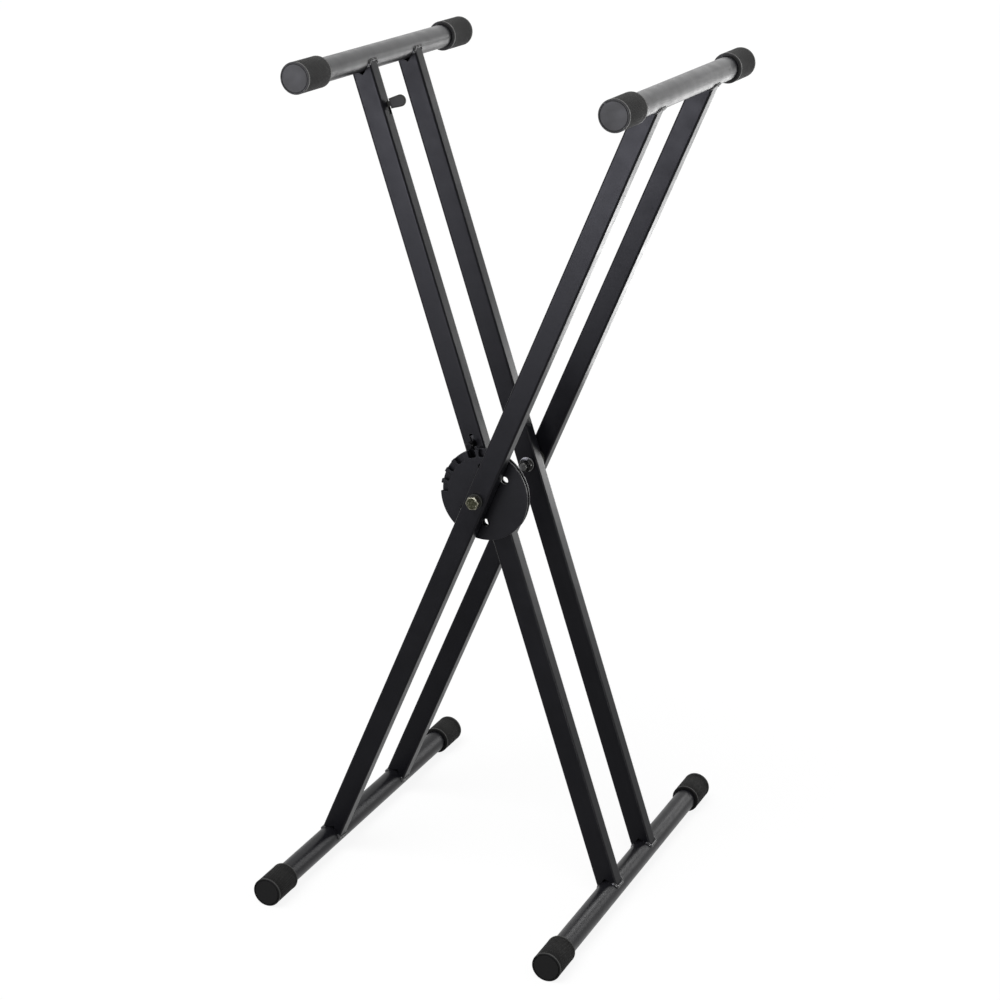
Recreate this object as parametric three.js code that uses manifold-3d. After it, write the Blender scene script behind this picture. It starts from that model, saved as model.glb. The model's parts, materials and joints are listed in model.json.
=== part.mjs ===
// Folding X keyboard stand: two hinged tube frames, a notched lock plate and a sprung latch.
// Millimetres, +Z up. The origin is on the floor, midway between the feet.
import * as THREE from 'three';
import { mergeVertices } from 'three/addons/utils/BufferGeometryUtils.js';
import Module from 'manifold-3d';

const wasm = await Module();
wasm.setup();

// ---------------------------------------------------------------- driving dimensions

const OPENING = THREE.MathUtils.degToRad(41.24); // angle between the two frames as set up
const FOLDED_OPENING = THREE.MathUtils.degToRad(4.24); // and as folded away
const LEG_ABOVE_PIVOT = 506.4; // pivot to the axis of a support arm
const LEG_BELOW_PIVOT = 503.6; // pivot to the axis of a foot bar

// Rectangular leg tubes: width lies across the leg, depth along the pivot axis.
const LEG_WIDTH = 25.4;
const LEG_DEPTH = 19.05;
const LEG_WALL = 1.5;
const LEG_CORNER = 2.4;
const OUTER_LEG_SPACING = 176.6; // centre to centre of the outer frame's two legs

// Round tubes of the support arms and foot bars.
const BAR_RADIUS = 13.35;
const BAR_WALL = 1.6;
const OUTER_ARM_LENGTH = 405; // tip to tip, with its end caps
const INNER_ARM_LENGTH = 415;
const INNER_ARM_SHIFT = -2; // the inner arm sits this far towards the near side
const FOOT_LENGTH = 508;

// Rubber end caps.
const CAP_WALL = 3.65; // around the tube
const CAP_END_WALL = 4.5;
const CAP_CHAMFER = 1.8;
const CAP_LIP_WIDTH = 2.2;
const CAP_LIP_HEIGHT = 0.8;
const ARM_CAP_LENGTH = 52;
const FOOT_CAP_LENGTH = 45;

// Lock plates and the stack of rings between the near legs.
const PLATE_RADIUS = 54;
const PLATE_THICKNESS = 2.6;
const OUTER_RING_THICKNESS = 3.4; // between the outer leg and the notched plate
const PLATE_WASHER_THICKNESS = 2.3; // between the two plates
const INNER_RING_THICKNESS = 3.4; // between the guide plate and the inner leg
const RING_RADIUS = 11;
const FAR_SPACER_THICKNESS = 7.4; // between the two far legs
const NOTCH_DEPTH = 9;
const NOTCH_SIDE_CLEARANCE = 0.5; // each side of the pin
const NOTCH_FLOOR_CLEARANCE = 1.8; // under the seated pin
const GUIDE_SLOT_DEPTH = 11;
// Turns from the set-up height to the notches beside it: one narrower, then four wider.
const NOTCH_TURNS = [-16, 20.5, 36.5, 52.5, 68.5].map(THREE.MathUtils.degToRad);
const HOLE_RADIUS = 4.5; // four lightening holes through both plates
const HOLE_EDGE = 7.5; // metal between a hole and the notch floors
const HOLE_OFFSET = THREE.MathUtils.degToRad(27.6); // from the outer leg's axis

// Plate rivets.
const OUTER_RIVET_EDGE = 12; // from the notch floors to the outer leg's rivets
const INNER_RIVET_SPACE = 7; // between the inner leg's rivets and the ring at the bolt
const RIVET_SHANK_RADIUS = 2.4;
const RIVET_SHOULDER_RADIUS = 4;
const RIVET_HEAD_RADIUS = 3.6;
const RIVET_HEAD_HEIGHT = 0.8;
const RIVET_TAIL = 2.5; // past the inside of the tube wall

// Pivot bolts.
const BOLT_RADIUS = 4.7;
const BOLT_FLATS = 14.3;
const BOLT_HEAD_HEIGHT = 7.2;
const HEAD_CHAMFER_RUN = 1.6; // in from the head's corners
const HEAD_CHAMFER_SLOPE = 0.5; // drop for each millimetre out
const NUT_HEIGHT = 8;
const THREAD_END = 2.5; // bolt past its nut
const WASHER_RADIUS = 9;
const WASHER_THICKNESS = 2.6;

// Latch: headed pin, carrier, pull rod, collar, spring and finger trigger, inside the near inner leg.
const PIN_HEAD_RADIUS = 4.2;
const PIN_STEM_RADIUS = 2;
const PIN_CHAMFER = 0.6;
const PIN_REACH_PAST_PLATE = 1.5; // past the notched plate's near face
const PIN_RIM_CLEARANCE = 0.8; // under the pulled pin, above the plates' rim
const STEM_SLOT_ABOVE_PIN = 11.5; // from the pulled pin's axis to the slot's top
const STEM_IN_CARRIER = 8;
const CARRIER_LENGTH = 18;
const ROD_RADIUS = 3;
const ROD_IN_BLOCK = 9; // how far the rod runs into the carrier and the trigger
const COLLAR_LENGTH = 5;
const COLLAR_RIM = 0.5; // of the collar past the outside of the spring
const CARRIER_TO_COLLAR = 44;
const SPRING_LENGTH = 34; // as compressed by the pulled latch
const SPRING_WIRE_RADIUS = 0.6;
const SPRING_ROD_GAP = 1.7; // between the rod and the inside of the spring
const SPRING_TURNS = 9;
const BUSH_LENGTH = 9;
const BUSH_TO_TRIGGER = 30.2;
const TRIGGER_DROP = 55.2; // support arm's axis to the middle of the finger tab
const TRIGGER_LENGTH = 24; // the trigger's block inside the leg
const TRIGGER_DEPTH = 4.6; // of the neck and the tab
const TRIGGER_SETBACK = 4.4; // from the middle of the leg's side towards its far edge
const TRIGGER_NECK = 8; // along the leg, through the slot
const NECK_OVERLAP = 1.5; // of the neck into the tab
const TAB_HEIGHT = 13.4;
const TAB_REACH = 22.4; // from the leg's side to the tab's round tip
const TAB_TAPER = 0.9; // each side, from the round end to the leg

// Clearances.
const SEAT_GAP = 0.3; // between pieces that touch
const RUN_GAP = 0.4; // around pieces that slide or turn
const CUT_OVERRUN = 1; // of a cutter past the face it opens

// Facets.
const BAR_SIDES = 32;
const CAP_SIDES = 32;
const PLATE_SIDES = 72;
const SMALL_SIDES = 20;
const HEAD_SIDES = 24;
const CORNER_STEPS = 3;
const ROUND_TAB_STEPS = 10;
const SPRING_STEPS_PER_TURN = 8;
const SPRING_ARC_STEPS = 3; // each counts for two of the wire's sides

// ---------------------------------------------------------------- derived sizes

const halfOpening = OPENING / 2;
const capRadius = BAR_RADIUS + SEAT_GAP + CAP_WALL;
const pivotHeight = LEG_BELOW_PIVOT * Math.cos(halfOpening) + capRadius;

const outerNearY = -OUTER_LEG_SPACING / 2;
const outerFarY = OUTER_LEG_SPACING / 2;
const outerNearInnerFace = outerNearY + LEG_DEPTH / 2;
const outerRingY = outerNearInnerFace + SEAT_GAP;
const notchedPlateY = outerRingY + OUTER_RING_THICKNESS + SEAT_GAP;
const plateWasherY = notchedPlateY + PLATE_THICKNESS + SEAT_GAP;
const guidePlateY = plateWasherY + PLATE_WASHER_THICKNESS + SEAT_GAP;
const innerRingY = guidePlateY + PLATE_THICKNESS + SEAT_GAP;
const innerNearFace = innerRingY + INNER_RING_THICKNESS + SEAT_GAP;
const innerNearY = innerNearFace + LEG_DEPTH / 2;
const farSpacerY = outerFarY - LEG_DEPTH / 2 - SEAT_GAP - FAR_SPACER_THICKNESS;
const innerFarFace = farSpacerY - SEAT_GAP;
const innerFarY = innerFarFace - LEG_DEPTH / 2;

// Distances from the pivot, out along a radius of the plates or up a leg.
const boltHoleRadius = BOLT_RADIUS + RUN_GAP;
const notchWidth = 2 * (PIN_HEAD_RADIUS + NOTCH_SIDE_CLEARANCE);
const notchFloor = PLATE_RADIUS - NOTCH_DEPTH;
const guideSlotFloor = PLATE_RADIUS - GUIDE_SLOT_DEPTH;
const notchOpenings = [FOLDED_OPENING, OPENING, ...NOTCH_TURNS.map((turn) => OPENING + turn)];
const holeCircle = notchFloor - HOLE_EDGE - HOLE_RADIUS;
const outerRivetReach = notchFloor - OUTER_RIVET_EDGE;
const innerRivetReach = RING_RADIUS + RIVET_SHOULDER_RADIUS + INNER_RIVET_SPACE;
const pinReach = PLATE_RADIUS + PIN_RIM_CLEARANCE + PIN_HEAD_RADIUS; // to the pulled pin's axis
const latchTravel = PIN_RIM_CLEARANCE + NOTCH_DEPTH - NOTCH_FLOOR_CLEARANCE; // pulled to seated
const carrierTop = pinReach + CARRIER_LENGTH / 2;
const rodBottom = carrierTop - ROD_IN_BLOCK + PIN_STEM_RADIUS + SEAT_GAP;
const collarReach = carrierTop + CARRIER_TO_COLLAR;
const springBottom = collarReach + COLLAR_LENGTH + SEAT_GAP;
const lowerBushReach = springBottom + SPRING_LENGTH + SEAT_GAP;
const triggerReach = LEG_ABOVE_PIVOT - TRIGGER_DROP;
const triggerBottom = triggerReach - TRIGGER_LENGTH / 2;
const upperBushReach = triggerBottom - BUSH_TO_TRIGGER - BUSH_LENGTH;

// Sections inside the legs.
const boreWidth = LEG_WIDTH - 2 * LEG_WALL;
const boreDepth = LEG_DEPTH - 2 * LEG_WALL;
const blockWidth = boreWidth - 2 * RUN_GAP;
const blockDepth = boreDepth - 2 * RUN_GAP;
const springRadius = ROD_RADIUS + SPRING_ROD_GAP + SPRING_WIRE_RADIUS; // to the middle of the wire
const collarRadius = springRadius + SPRING_WIRE_RADIUS + COLLAR_RIM;

// ---------------------------------------------------------------- solids

function toSolid(geometry) {
  const bare = geometry.index ? geometry.toNonIndexed() : geometry.clone();
  bare.deleteAttribute('normal');
  bare.deleteAttribute('uv');
  const merged = mergeVertices(bare, 1e-4);
  return new wasm.Manifold(new wasm.Mesh({
    numProp: 3,
    vertProperties: new Float32Array(merged.attributes.position.array),
    triVerts: new Uint32Array(merged.index.array),
  }));
}

function toGeometry(solid) {
  const mesh = solid.getMesh();
  const geometry = new THREE.BufferGeometry();
  geometry.setAttribute('position', new THREE.BufferAttribute(mesh.vertProperties, 3));
  geometry.setIndex(new THREE.BufferAttribute(mesh.triVerts, 1));
  return geometry;
}

// Cuts every tool from the blank, or joins every piece to it.
function cut(blank, tools) {
  return toGeometry(tools.reduce((solid, tool) => solid.subtract(toSolid(tool)), toSolid(blank)));
}

function join(first, others) {
  return toGeometry(others.reduce((solid, other) => solid.add(toSolid(other)), toSolid(first)));
}

// A solid turned about the Y axis from [radius, y] points, listed from low y to high y outside.
function turned(points, sides) {
  return new THREE.LatheGeometry(points.map(([radius, y]) => new THREE.Vector2(radius, y)), sides);
}

function disc(radius, y0, y1, sides = SMALL_SIDES) {
  return turned([[0, y0], [radius, y0], [radius, y1], [0, y1]], sides);
}

function ring(outer, inner, y0, y1, sides = SMALL_SIDES) {
  return turned([[inner, y0], [outer, y0], [outer, y1], [inner, y1], [inner, y0]], sides);
}

// A block given by its middle, with sizes across the leg, along Y and along the leg.
function block(width, depth, length, x, y, z) {
  return new THREE.BoxGeometry(width, depth, length).translate(x, y, z);
}

// A rod along the leg.
function legRod(radius, z0, z1, y, sides = SMALL_SIDES) {
  return disc(radius, z0, z1, sides).rotateX(Math.PI / 2).translate(0, y, 0);
}

function hexagon(flats, y0, y1) {
  return new THREE.CylinderGeometry(flats / Math.sqrt(3), flats / Math.sqrt(3), y1 - y0, 6)
    .translate(0, (y0 + y1) / 2, 0);
}

// The radius whose polygon lies outside a circle with every flat touching it.
function outsideRadius(radius, sides) {
  return radius / Math.cos(Math.PI / sides);
}

function roundedRectangle(path, width, depth, corner) {
  const x = width / 2 - corner;
  const y = depth / 2 - corner;
  path.moveTo(x + corner, -y);
  path.lineTo(x + corner, y);
  path.absarc(x, y, corner, 0, Math.PI / 2);
  path.absarc(-x, y, corner, Math.PI / 2, Math.PI);
  path.absarc(-x, -y, corner, Math.PI, 1.5 * Math.PI);
  path.absarc(x, -y, corner, 1.5 * Math.PI, 2 * Math.PI);
  return path;
}

// ---------------------------------------------------------------- sub-parts

// A leg tube from foot bar to support arm, with both ends coped to the round tubes.
function legTube(y, extraCuts = []) {
  const outline = roundedRectangle(new THREE.Shape(), LEG_WIDTH, LEG_DEPTH, LEG_CORNER);
  const bore = roundedRectangle(new THREE.Path(), boreWidth, boreDepth, LEG_CORNER - LEG_WALL);
  outline.holes.push(bore);
  const tube = new THREE.ExtrudeGeometry(outline, {
    depth: LEG_BELOW_PIVOT + LEG_ABOVE_PIVOT,
    bevelEnabled: false,
    curveSegments: CORNER_STEPS,
  }).translate(0, y, -LEG_BELOW_PIVOT);
  const copeRadius = outsideRadius(BAR_RADIUS + SEAT_GAP, BAR_SIDES);
  const copes = [LEG_ABOVE_PIVOT, -LEG_BELOW_PIVOT].map((z) => (
    disc(copeRadius, y - LEG_DEPTH, y + LEG_DEPTH, BAR_SIDES).translate(0, 0, z)
  ));
  const boltHole = disc(boltHoleRadius, y - LEG_DEPTH, y + LEG_DEPTH);
  return cut(tube, [...copes, boltHole, ...extraCuts]);
}

// A round tube whose ends stop just inside its caps.
function barTube(length) {
  const end = length / 2 - CAP_END_WALL - SEAT_GAP;
  return ring(BAR_RADIUS, BAR_RADIUS - BAR_WALL, -end, end, BAR_SIDES);
}

// A cup-shaped cap with its closed end at y = 0 and its mouth towards +Y.
function endCap(length) {
  const side = outsideRadius(capRadius, CAP_SIDES);
  const mouth = outsideRadius(BAR_RADIUS + SEAT_GAP, CAP_SIDES);
  const lip = side - CAP_CHAMFER;
  return turned([
    [0, CAP_LIP_HEIGHT],
    [lip - CAP_LIP_WIDTH - CAP_LIP_HEIGHT, CAP_LIP_HEIGHT],
    [lip - CAP_LIP_WIDTH, 0],
    [lip, 0],
    [side, CAP_CHAMFER],
    [side, length - CAP_CHAMFER / 2],
    [side - CAP_CHAMFER / 2, length],
    [mouth, length],
    [mouth, CAP_END_WALL],
    [0, CAP_END_WALL],
  ], CAP_SIDES);
}

// Places around the pivot are given by a turn from the leg's axis towards -X, and a radius.
function around(geometry, turn, radius) {
  return geometry.translate(0, 0, radius).rotateY(-turn);
}

// A lock plate with its near face at y, cut by the tools given.
function lockPlate(y, tools) {
  const blank = disc(PLATE_RADIUS, y, y + PLATE_THICKNESS, PLATE_SIDES);
  const boltHole = disc(boltHoleRadius, y - PLATE_THICKNESS, y + 2 * PLATE_THICKNESS);
  return cut(blank, [boltHole, ...tools]);
}

function plateHole(y, radius, turn, reach) {
  return around(disc(radius, y - PLATE_THICKNESS, y + 2 * PLATE_THICKNESS), turn, reach);
}

// A straight-sided slot from a floor radius out past the rim.
function rimSlot(y, floorRadius, turn) {
  const length = 2 * (PLATE_RADIUS - floorRadius);
  const tool = block(notchWidth, 3 * PLATE_THICKNESS, length, 0, y + PLATE_THICKNESS / 2, length / 2);
  return around(tool, turn, floorRadius);
}

// The four lightening holes, seen from a frame that is turned from the outer leg's axis.
function lighteningHoles(y, frameTurn) {
  const turns = [HOLE_OFFSET, -HOLE_OFFSET, Math.PI + HOLE_OFFSET, Math.PI - HOLE_OFFSET];
  return turns.map((turn) => plateHole(y, HOLE_RADIUS, turn + frameTurn, holeCircle));
}

function notchedPlate() {
  const notches = notchOpenings.map((opening) => rimSlot(notchedPlateY, notchFloor, opening));
  const rivetHoles = [0, Math.PI].map((turn) => (
    plateHole(notchedPlateY, RIVET_SHANK_RADIUS + SEAT_GAP, turn, outerRivetReach)
  ));
  return lockPlate(notchedPlateY, [...notches, ...rivetHoles, ...lighteningHoles(notchedPlateY, 0)]);
}

function guidePlate() {
  const rivetHoles = [0, Math.PI].map((turn) => (
    plateHole(guidePlateY, RIVET_SHANK_RADIUS + SEAT_GAP, turn, innerRivetReach)
  ));
  const pinSlot = rimSlot(guidePlateY, guideSlotFloor, 0);
  return lockPlate(guidePlateY, [pinSlot, ...rivetHoles, ...lighteningHoles(guidePlateY, -OPENING)]);
}

// A shouldered rivet. Its head lies on the plate's open face, its shoulder between plate and leg.
// sense is +1 where the leg lies towards +Y of the plate, and -1 where it lies towards -Y.
function plateRivet(plateY, shoulderLength, sense) {
  const openFace = sense > 0 ? plateY : plateY + PLATE_THICKNESS;
  const at = (distance) => openFace + sense * distance;
  const headBase = -SEAT_GAP;
  const shoulderStart = PLATE_THICKNESS + SEAT_GAP;
  const shoulderEnd = shoulderStart + shoulderLength;
  const tip = shoulderEnd + SEAT_GAP + LEG_WALL + RIVET_TAIL;
  const outline = [
    [0, at(headBase - RIVET_HEAD_HEIGHT)],
    [RIVET_HEAD_RADIUS, at(headBase - RIVET_HEAD_HEIGHT)],
    [RIVET_HEAD_RADIUS, at(headBase)],
    [RIVET_SHANK_RADIUS, at(headBase)],
    [RIVET_SHANK_RADIUS, at(shoulderStart)],
    [RIVET_SHOULDER_RADIUS, at(shoulderStart)],
    [RIVET_SHOULDER_RADIUS, at(shoulderEnd)],
    [RIVET_SHANK_RADIUS, at(shoulderEnd)],
    [RIVET_SHANK_RADIUS, at(tip)],
    [0, at(tip)],
  ];
  return turned(sense > 0 ? outline : outline.reverse(), SMALL_SIDES);
}

// A hex bolt whose head bears at headY. sense is +1 where the shank runs towards +Y.
function hexBolt(headY, tipY, sense) {
  const top = headY - sense * BOLT_HEAD_HEIGHT;
  const head = hexagon(BOLT_FLATS, Math.min(headY, top), Math.max(headY, top));
  const shank = disc(BOLT_RADIUS, Math.min(top, tipY), Math.max(top, tipY));
  const bolt = toSolid(head).add(toSolid(shank));
  // The head's corners are chamfered by a cone, as on a forged bolt.
  const corner = BOLT_FLATS / Math.sqrt(3);
  const clear = corner + CUT_OVERRUN;
  const drop = HEAD_CHAMFER_SLOPE * (HEAD_CHAMFER_RUN + CUT_OVERRUN);
  const outline = [
    [0, top],
    [corner - HEAD_CHAMFER_RUN, top],
    [clear, top + sense * drop],
    [clear, tipY],
    [0, tipY],
  ];
  const envelope = turned(sense > 0 ? outline : outline.reverse(), HEAD_SIDES);
  return toGeometry(bolt.intersect(toSolid(envelope)));
}

function hexNut(y0) {
  const bore = disc(BOLT_RADIUS + SEAT_GAP, y0 - NUT_HEIGHT, y0 + 2 * NUT_HEIGHT);
  return cut(hexagon(BOLT_FLATS, y0, y0 + NUT_HEIGHT), [bore]);
}

function boltRing(radius, y0, thickness) {
  return ring(radius, boltHoleRadius, y0, y0 + thickness);
}

// The headed pin: the head crosses both plates, the stem runs through the leg's slot.
function latchPin() {
  const tip = notchedPlateY - PIN_REACH_PAST_PLATE;
  const shoulder = innerNearFace - SEAT_GAP;
  const stemEnd = innerNearFace + LEG_WALL + RUN_GAP + STEM_IN_CARRIER;
  return turned([
    [0, tip],
    [PIN_HEAD_RADIUS - PIN_CHAMFER, tip],
    [PIN_HEAD_RADIUS, tip + PIN_CHAMFER],
    [PIN_HEAD_RADIUS, shoulder],
    [PIN_STEM_RADIUS, shoulder],
    [PIN_STEM_RADIUS, stemEnd],
    [0, stemEnd],
  ], SMALL_SIDES).translate(0, 0, pinReach);
}

// The sliding block that joins pin and rod.
function pinCarrier() {
  const body = block(blockWidth, blockDepth, CARRIER_LENGTH, 0, innerNearY, pinReach);
  const stemStart = innerNearY - boreDepth / 2;
  const stemHoleEnd = stemStart + RUN_GAP + STEM_IN_CARRIER + SEAT_GAP;
  const stemHole = disc(PIN_STEM_RADIUS + SEAT_GAP, stemStart, stemHoleEnd).translate(0, 0, pinReach);
  const rodHole = legRod(ROD_RADIUS + SEAT_GAP, rodBottom - SEAT_GAP, carrierTop + CUT_OVERRUN, innerNearY);
  return cut(body, [stemHole, rodHole]);
}

function guideBush(z0) {
  const body = block(
    boreWidth - 2 * SEAT_GAP, boreDepth - 2 * SEAT_GAP, BUSH_LENGTH,
    0, innerNearY, z0 + BUSH_LENGTH / 2,
  );
  const boreTop = z0 + BUSH_LENGTH + CUT_OVERRUN;
  return cut(body, [legRod(ROD_RADIUS + RUN_GAP, z0 - CUT_OVERRUN, boreTop, innerNearY)]);
}

function pullRod() {
  return legRod(ROD_RADIUS, rodBottom, triggerBottom + ROD_IN_BLOCK, innerNearY);
}

function springCollar() {
  const top = collarReach + COLLAR_LENGTH;
  const body = legRod(collarRadius, collarReach, top, innerNearY);
  const bore = legRod(ROD_RADIUS + SEAT_GAP, collarReach - CUT_OVERRUN, top + CUT_OVERRUN, innerNearY);
  return cut(body, [bore]);
}

class Helix extends THREE.Curve {
  getPoint(t, target = new THREE.Vector3()) {
    const angle = 2 * Math.PI * SPRING_TURNS * t;
    const rise = SPRING_LENGTH - 2 * SPRING_WIRE_RADIUS;
    return target.set(
      springRadius * Math.cos(angle),
      springRadius * Math.sin(angle),
      SPRING_WIRE_RADIUS + rise * t,
    );
  }
}

function returnSpring() {
  const wire = new THREE.Shape();
  wire.absarc(0, 0, SPRING_WIRE_RADIUS, 0, 2 * Math.PI);
  return new THREE.ExtrudeGeometry(wire, {
    steps: SPRING_STEPS_PER_TURN * SPRING_TURNS,
    extrudePath: new Helix(),
    curveSegments: SPRING_ARC_STEPS,
  }).translate(0, innerNearY, springBottom);
}

// The finger trigger: a block in the leg, a neck through its side slot and a round-ended tab.
function releaseTrigger() {
  const inside = block(blockWidth, blockDepth, TRIGGER_LENGTH, 0, 0, triggerReach);
  const tabRoot = LEG_WIDTH / 2 + RUN_GAP;
  const neckEnd = tabRoot + NECK_OVERLAP;
  const neck = block(
    neckEnd, TRIGGER_DEPTH, TRIGGER_NECK,
    neckEnd / 2, TRIGGER_SETBACK, triggerReach,
  );
  const roundEnd = TAB_HEIGHT / 2;
  const roundMiddle = LEG_WIDTH / 2 + TAB_REACH - roundEnd;
  const outline = new THREE.Shape();
  outline.moveTo(tabRoot, -roundEnd + TAB_TAPER);
  outline.lineTo(roundMiddle, -roundEnd);
  outline.absarc(roundMiddle, 0, roundEnd, -Math.PI / 2, Math.PI / 2);
  outline.lineTo(tabRoot, roundEnd - TAB_TAPER);
  outline.closePath();
  const tab = new THREE.ExtrudeGeometry(outline, {
    depth: TRIGGER_DEPTH,
    bevelEnabled: false,
    curveSegments: ROUND_TAB_STEPS,
  }).rotateX(Math.PI / 2).translate(0, TRIGGER_SETBACK + TRIGGER_DEPTH / 2, triggerReach);
  const rodHoleTop = triggerBottom + ROD_IN_BLOCK + SEAT_GAP;
  const rodHole = legRod(ROD_RADIUS + SEAT_GAP, triggerBottom - CUT_OVERRUN, rodHoleTop, 0);
  return cut(join(inside, [neck, tab]), [rodHole]).translate(0, innerNearY, 0);
}

// Cuts in the near inner leg for the pin's stem, the trigger's neck and the guide plate's rivets.
function latchLegCuts() {
  const slotWidth = 2 * (PIN_STEM_RADIUS + SEAT_GAP);
  const slotTop = pinReach + STEM_SLOT_ABOVE_PIN;
  const slotBottom = pinReach - latchTravel - PIN_STEM_RADIUS - RUN_GAP;
  const stemSlot = block(
    slotWidth, 3 * LEG_WALL, slotTop - slotBottom,
    0, innerNearFace, (slotTop + slotBottom) / 2,
  );
  const neckTop = triggerReach + TRIGGER_NECK / 2 + RUN_GAP;
  const neckBottom = triggerReach - TRIGGER_NECK / 2 - latchTravel - RUN_GAP;
  const neckSlot = block(
    3 * LEG_WALL, TRIGGER_DEPTH + 2 * RUN_GAP, neckTop - neckBottom,
    LEG_WIDTH / 2, innerNearY + TRIGGER_SETBACK, (neckTop + neckBottom) / 2,
  );
  return [stemSlot, neckSlot, ...legRivetHoles(innerNearFace, innerRivetReach)];
}

// The holes of a plate's two rivets through the leg wall at y.
function legRivetHoles(y, reach) {
  return [reach, -reach].map((z) => (
    disc(RIVET_SHANK_RADIUS + SEAT_GAP, y - 2 * LEG_WALL, y + 2 * LEG_WALL).translate(0, 0, z)
  ));
}

// ---------------------------------------------------------------- materials

const paint = () => new THREE.MeshStandardMaterial({ color: 0x2a2a2d, roughness: 0.38, metalness: 0.35 });
const rubber = () => new THREE.MeshStandardMaterial({ color: 0x2b2b2c, roughness: 0.85, metalness: 0 });
const zinc = () => new THREE.MeshStandardMaterial({ color: 0x9c9a86, roughness: 0.35, metalness: 0.9 });
const steel = () => new THREE.MeshStandardMaterial({ color: 0xa9abae, roughness: 0.3, metalness: 1 });
const nylon = () => new THREE.MeshStandardMaterial({ color: 0x1d1d1e, roughness: 0.6, metalness: 0 });

// ---------------------------------------------------------------- assembly

function add(group, name, geometry, material) {
  const mesh = new THREE.Mesh(geometry, material());
  mesh.name = name;
  group.add(mesh);
  return mesh;
}

// A round tube and its two caps, level and square to the legs, at a leg's end.
function addBar(group, name, length, shift, capLength, lean, reach) {
  const bar = new THREE.Group();
  bar.position.set(Math.sin(lean) * reach, shift, Math.cos(lean) * reach);
  // Half a facet's turn sets a flat of each polygon at the very bottom.
  add(bar, name, barTube(length).rotateY(Math.PI / BAR_SIDES), paint);
  const near = add(bar, `${name}_cap_near`, endCap(capLength).rotateY(Math.PI / CAP_SIDES), rubber);
  near.position.y = -length / 2;
  const far = add(bar, `${name}_cap_far`, endCap(capLength).rotateY(Math.PI / CAP_SIDES), rubber);
  far.position.y = length / 2;
  far.rotation.z = Math.PI;
  group.add(bar);
}

// A plate's two rivets, one above and one below the pivot.
function addRivets(group, plateName, plateY, shoulderLength, sense, reach) {
  [['upper', 1], ['lower', -1]].forEach(([place, side]) => {
    const geometry = plateRivet(plateY, shoulderLength, sense);
    add(group, `${plateName}_rivet_${place}`, geometry, steel).position.z = side * reach;
  });
}

const stand = new THREE.Group();
stand.position.z = pivotHeight;

// Outer frame: leans to +X at the top.
addBar(stand, 'outer_support_arm', OUTER_ARM_LENGTH, 0, ARM_CAP_LENGTH, halfOpening, LEG_ABOVE_PIVOT);
addBar(stand, 'outer_foot_bar', FOOT_LENGTH, 0, FOOT_CAP_LENGTH, halfOpening, -LEG_BELOW_PIVOT);
const outer = new THREE.Group();
outer.rotation.y = halfOpening;
stand.add(outer);
const outerLegCuts = legRivetHoles(outerNearInnerFace, outerRivetReach);
add(outer, 'outer_leg_near', legTube(outerNearY, outerLegCuts), paint);
add(outer, 'outer_leg_far', legTube(outerFarY), paint);
add(outer, 'notched_plate', notchedPlate(), paint);
addRivets(outer, 'notched_plate', notchedPlateY, OUTER_RING_THICKNESS, -1, outerRivetReach);
add(outer, 'notched_plate_ring', boltRing(RING_RADIUS, outerRingY, OUTER_RING_THICKNESS), steel);
add(outer, 'plate_washer', boltRing(RING_RADIUS, plateWasherY, PLATE_WASHER_THICKNESS), nylon);

// Near pivot: head outside the outer leg, nut inside the inner leg.
const nearHeadWasherY = outerNearY - LEG_DEPTH / 2 - SEAT_GAP - WASHER_THICKNESS;
const nearNutWasherY = innerNearY + LEG_DEPTH / 2 + SEAT_GAP;
const nearNutY = nearNutWasherY + WASHER_THICKNESS + SEAT_GAP;
const nearBolt = hexBolt(nearHeadWasherY - SEAT_GAP, nearNutY + NUT_HEIGHT + THREAD_END, 1);
add(outer, 'near_bolt_washer', boltRing(WASHER_RADIUS, nearHeadWasherY, WASHER_THICKNESS), nylon);
add(outer, 'near_pivot_bolt', nearBolt, zinc);
add(outer, 'near_nut_washer', boltRing(WASHER_RADIUS, nearNutWasherY, WASHER_THICKNESS), steel);
add(outer, 'near_lock_nut', hexNut(nearNutY), zinc);

// Far pivot: head outside the outer leg, nut on the inner leg's open side.
const farHeadWasherY = outerFarY + LEG_DEPTH / 2 + SEAT_GAP;
const farNutWasherY = innerFarY - LEG_DEPTH / 2 - SEAT_GAP - WASHER_THICKNESS;
const farNutY = farNutWasherY - SEAT_GAP - NUT_HEIGHT;
const farBolt = hexBolt(farHeadWasherY + WASHER_THICKNESS + SEAT_GAP, farNutY - THREAD_END, -1);
add(outer, 'far_bolt_washer', boltRing(WASHER_RADIUS, farHeadWasherY, WASHER_THICKNESS), nylon);
add(outer, 'far_pivot_bolt', farBolt, zinc);
add(outer, 'far_nut_washer', boltRing(WASHER_RADIUS, farNutWasherY, WASHER_THICKNESS), steel);
add(outer, 'far_lock_nut', hexNut(farNutY), zinc);
add(outer, 'far_leg_spacer', boltRing(RING_RADIUS, farSpacerY, FAR_SPACER_THICKNESS), nylon);

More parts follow.
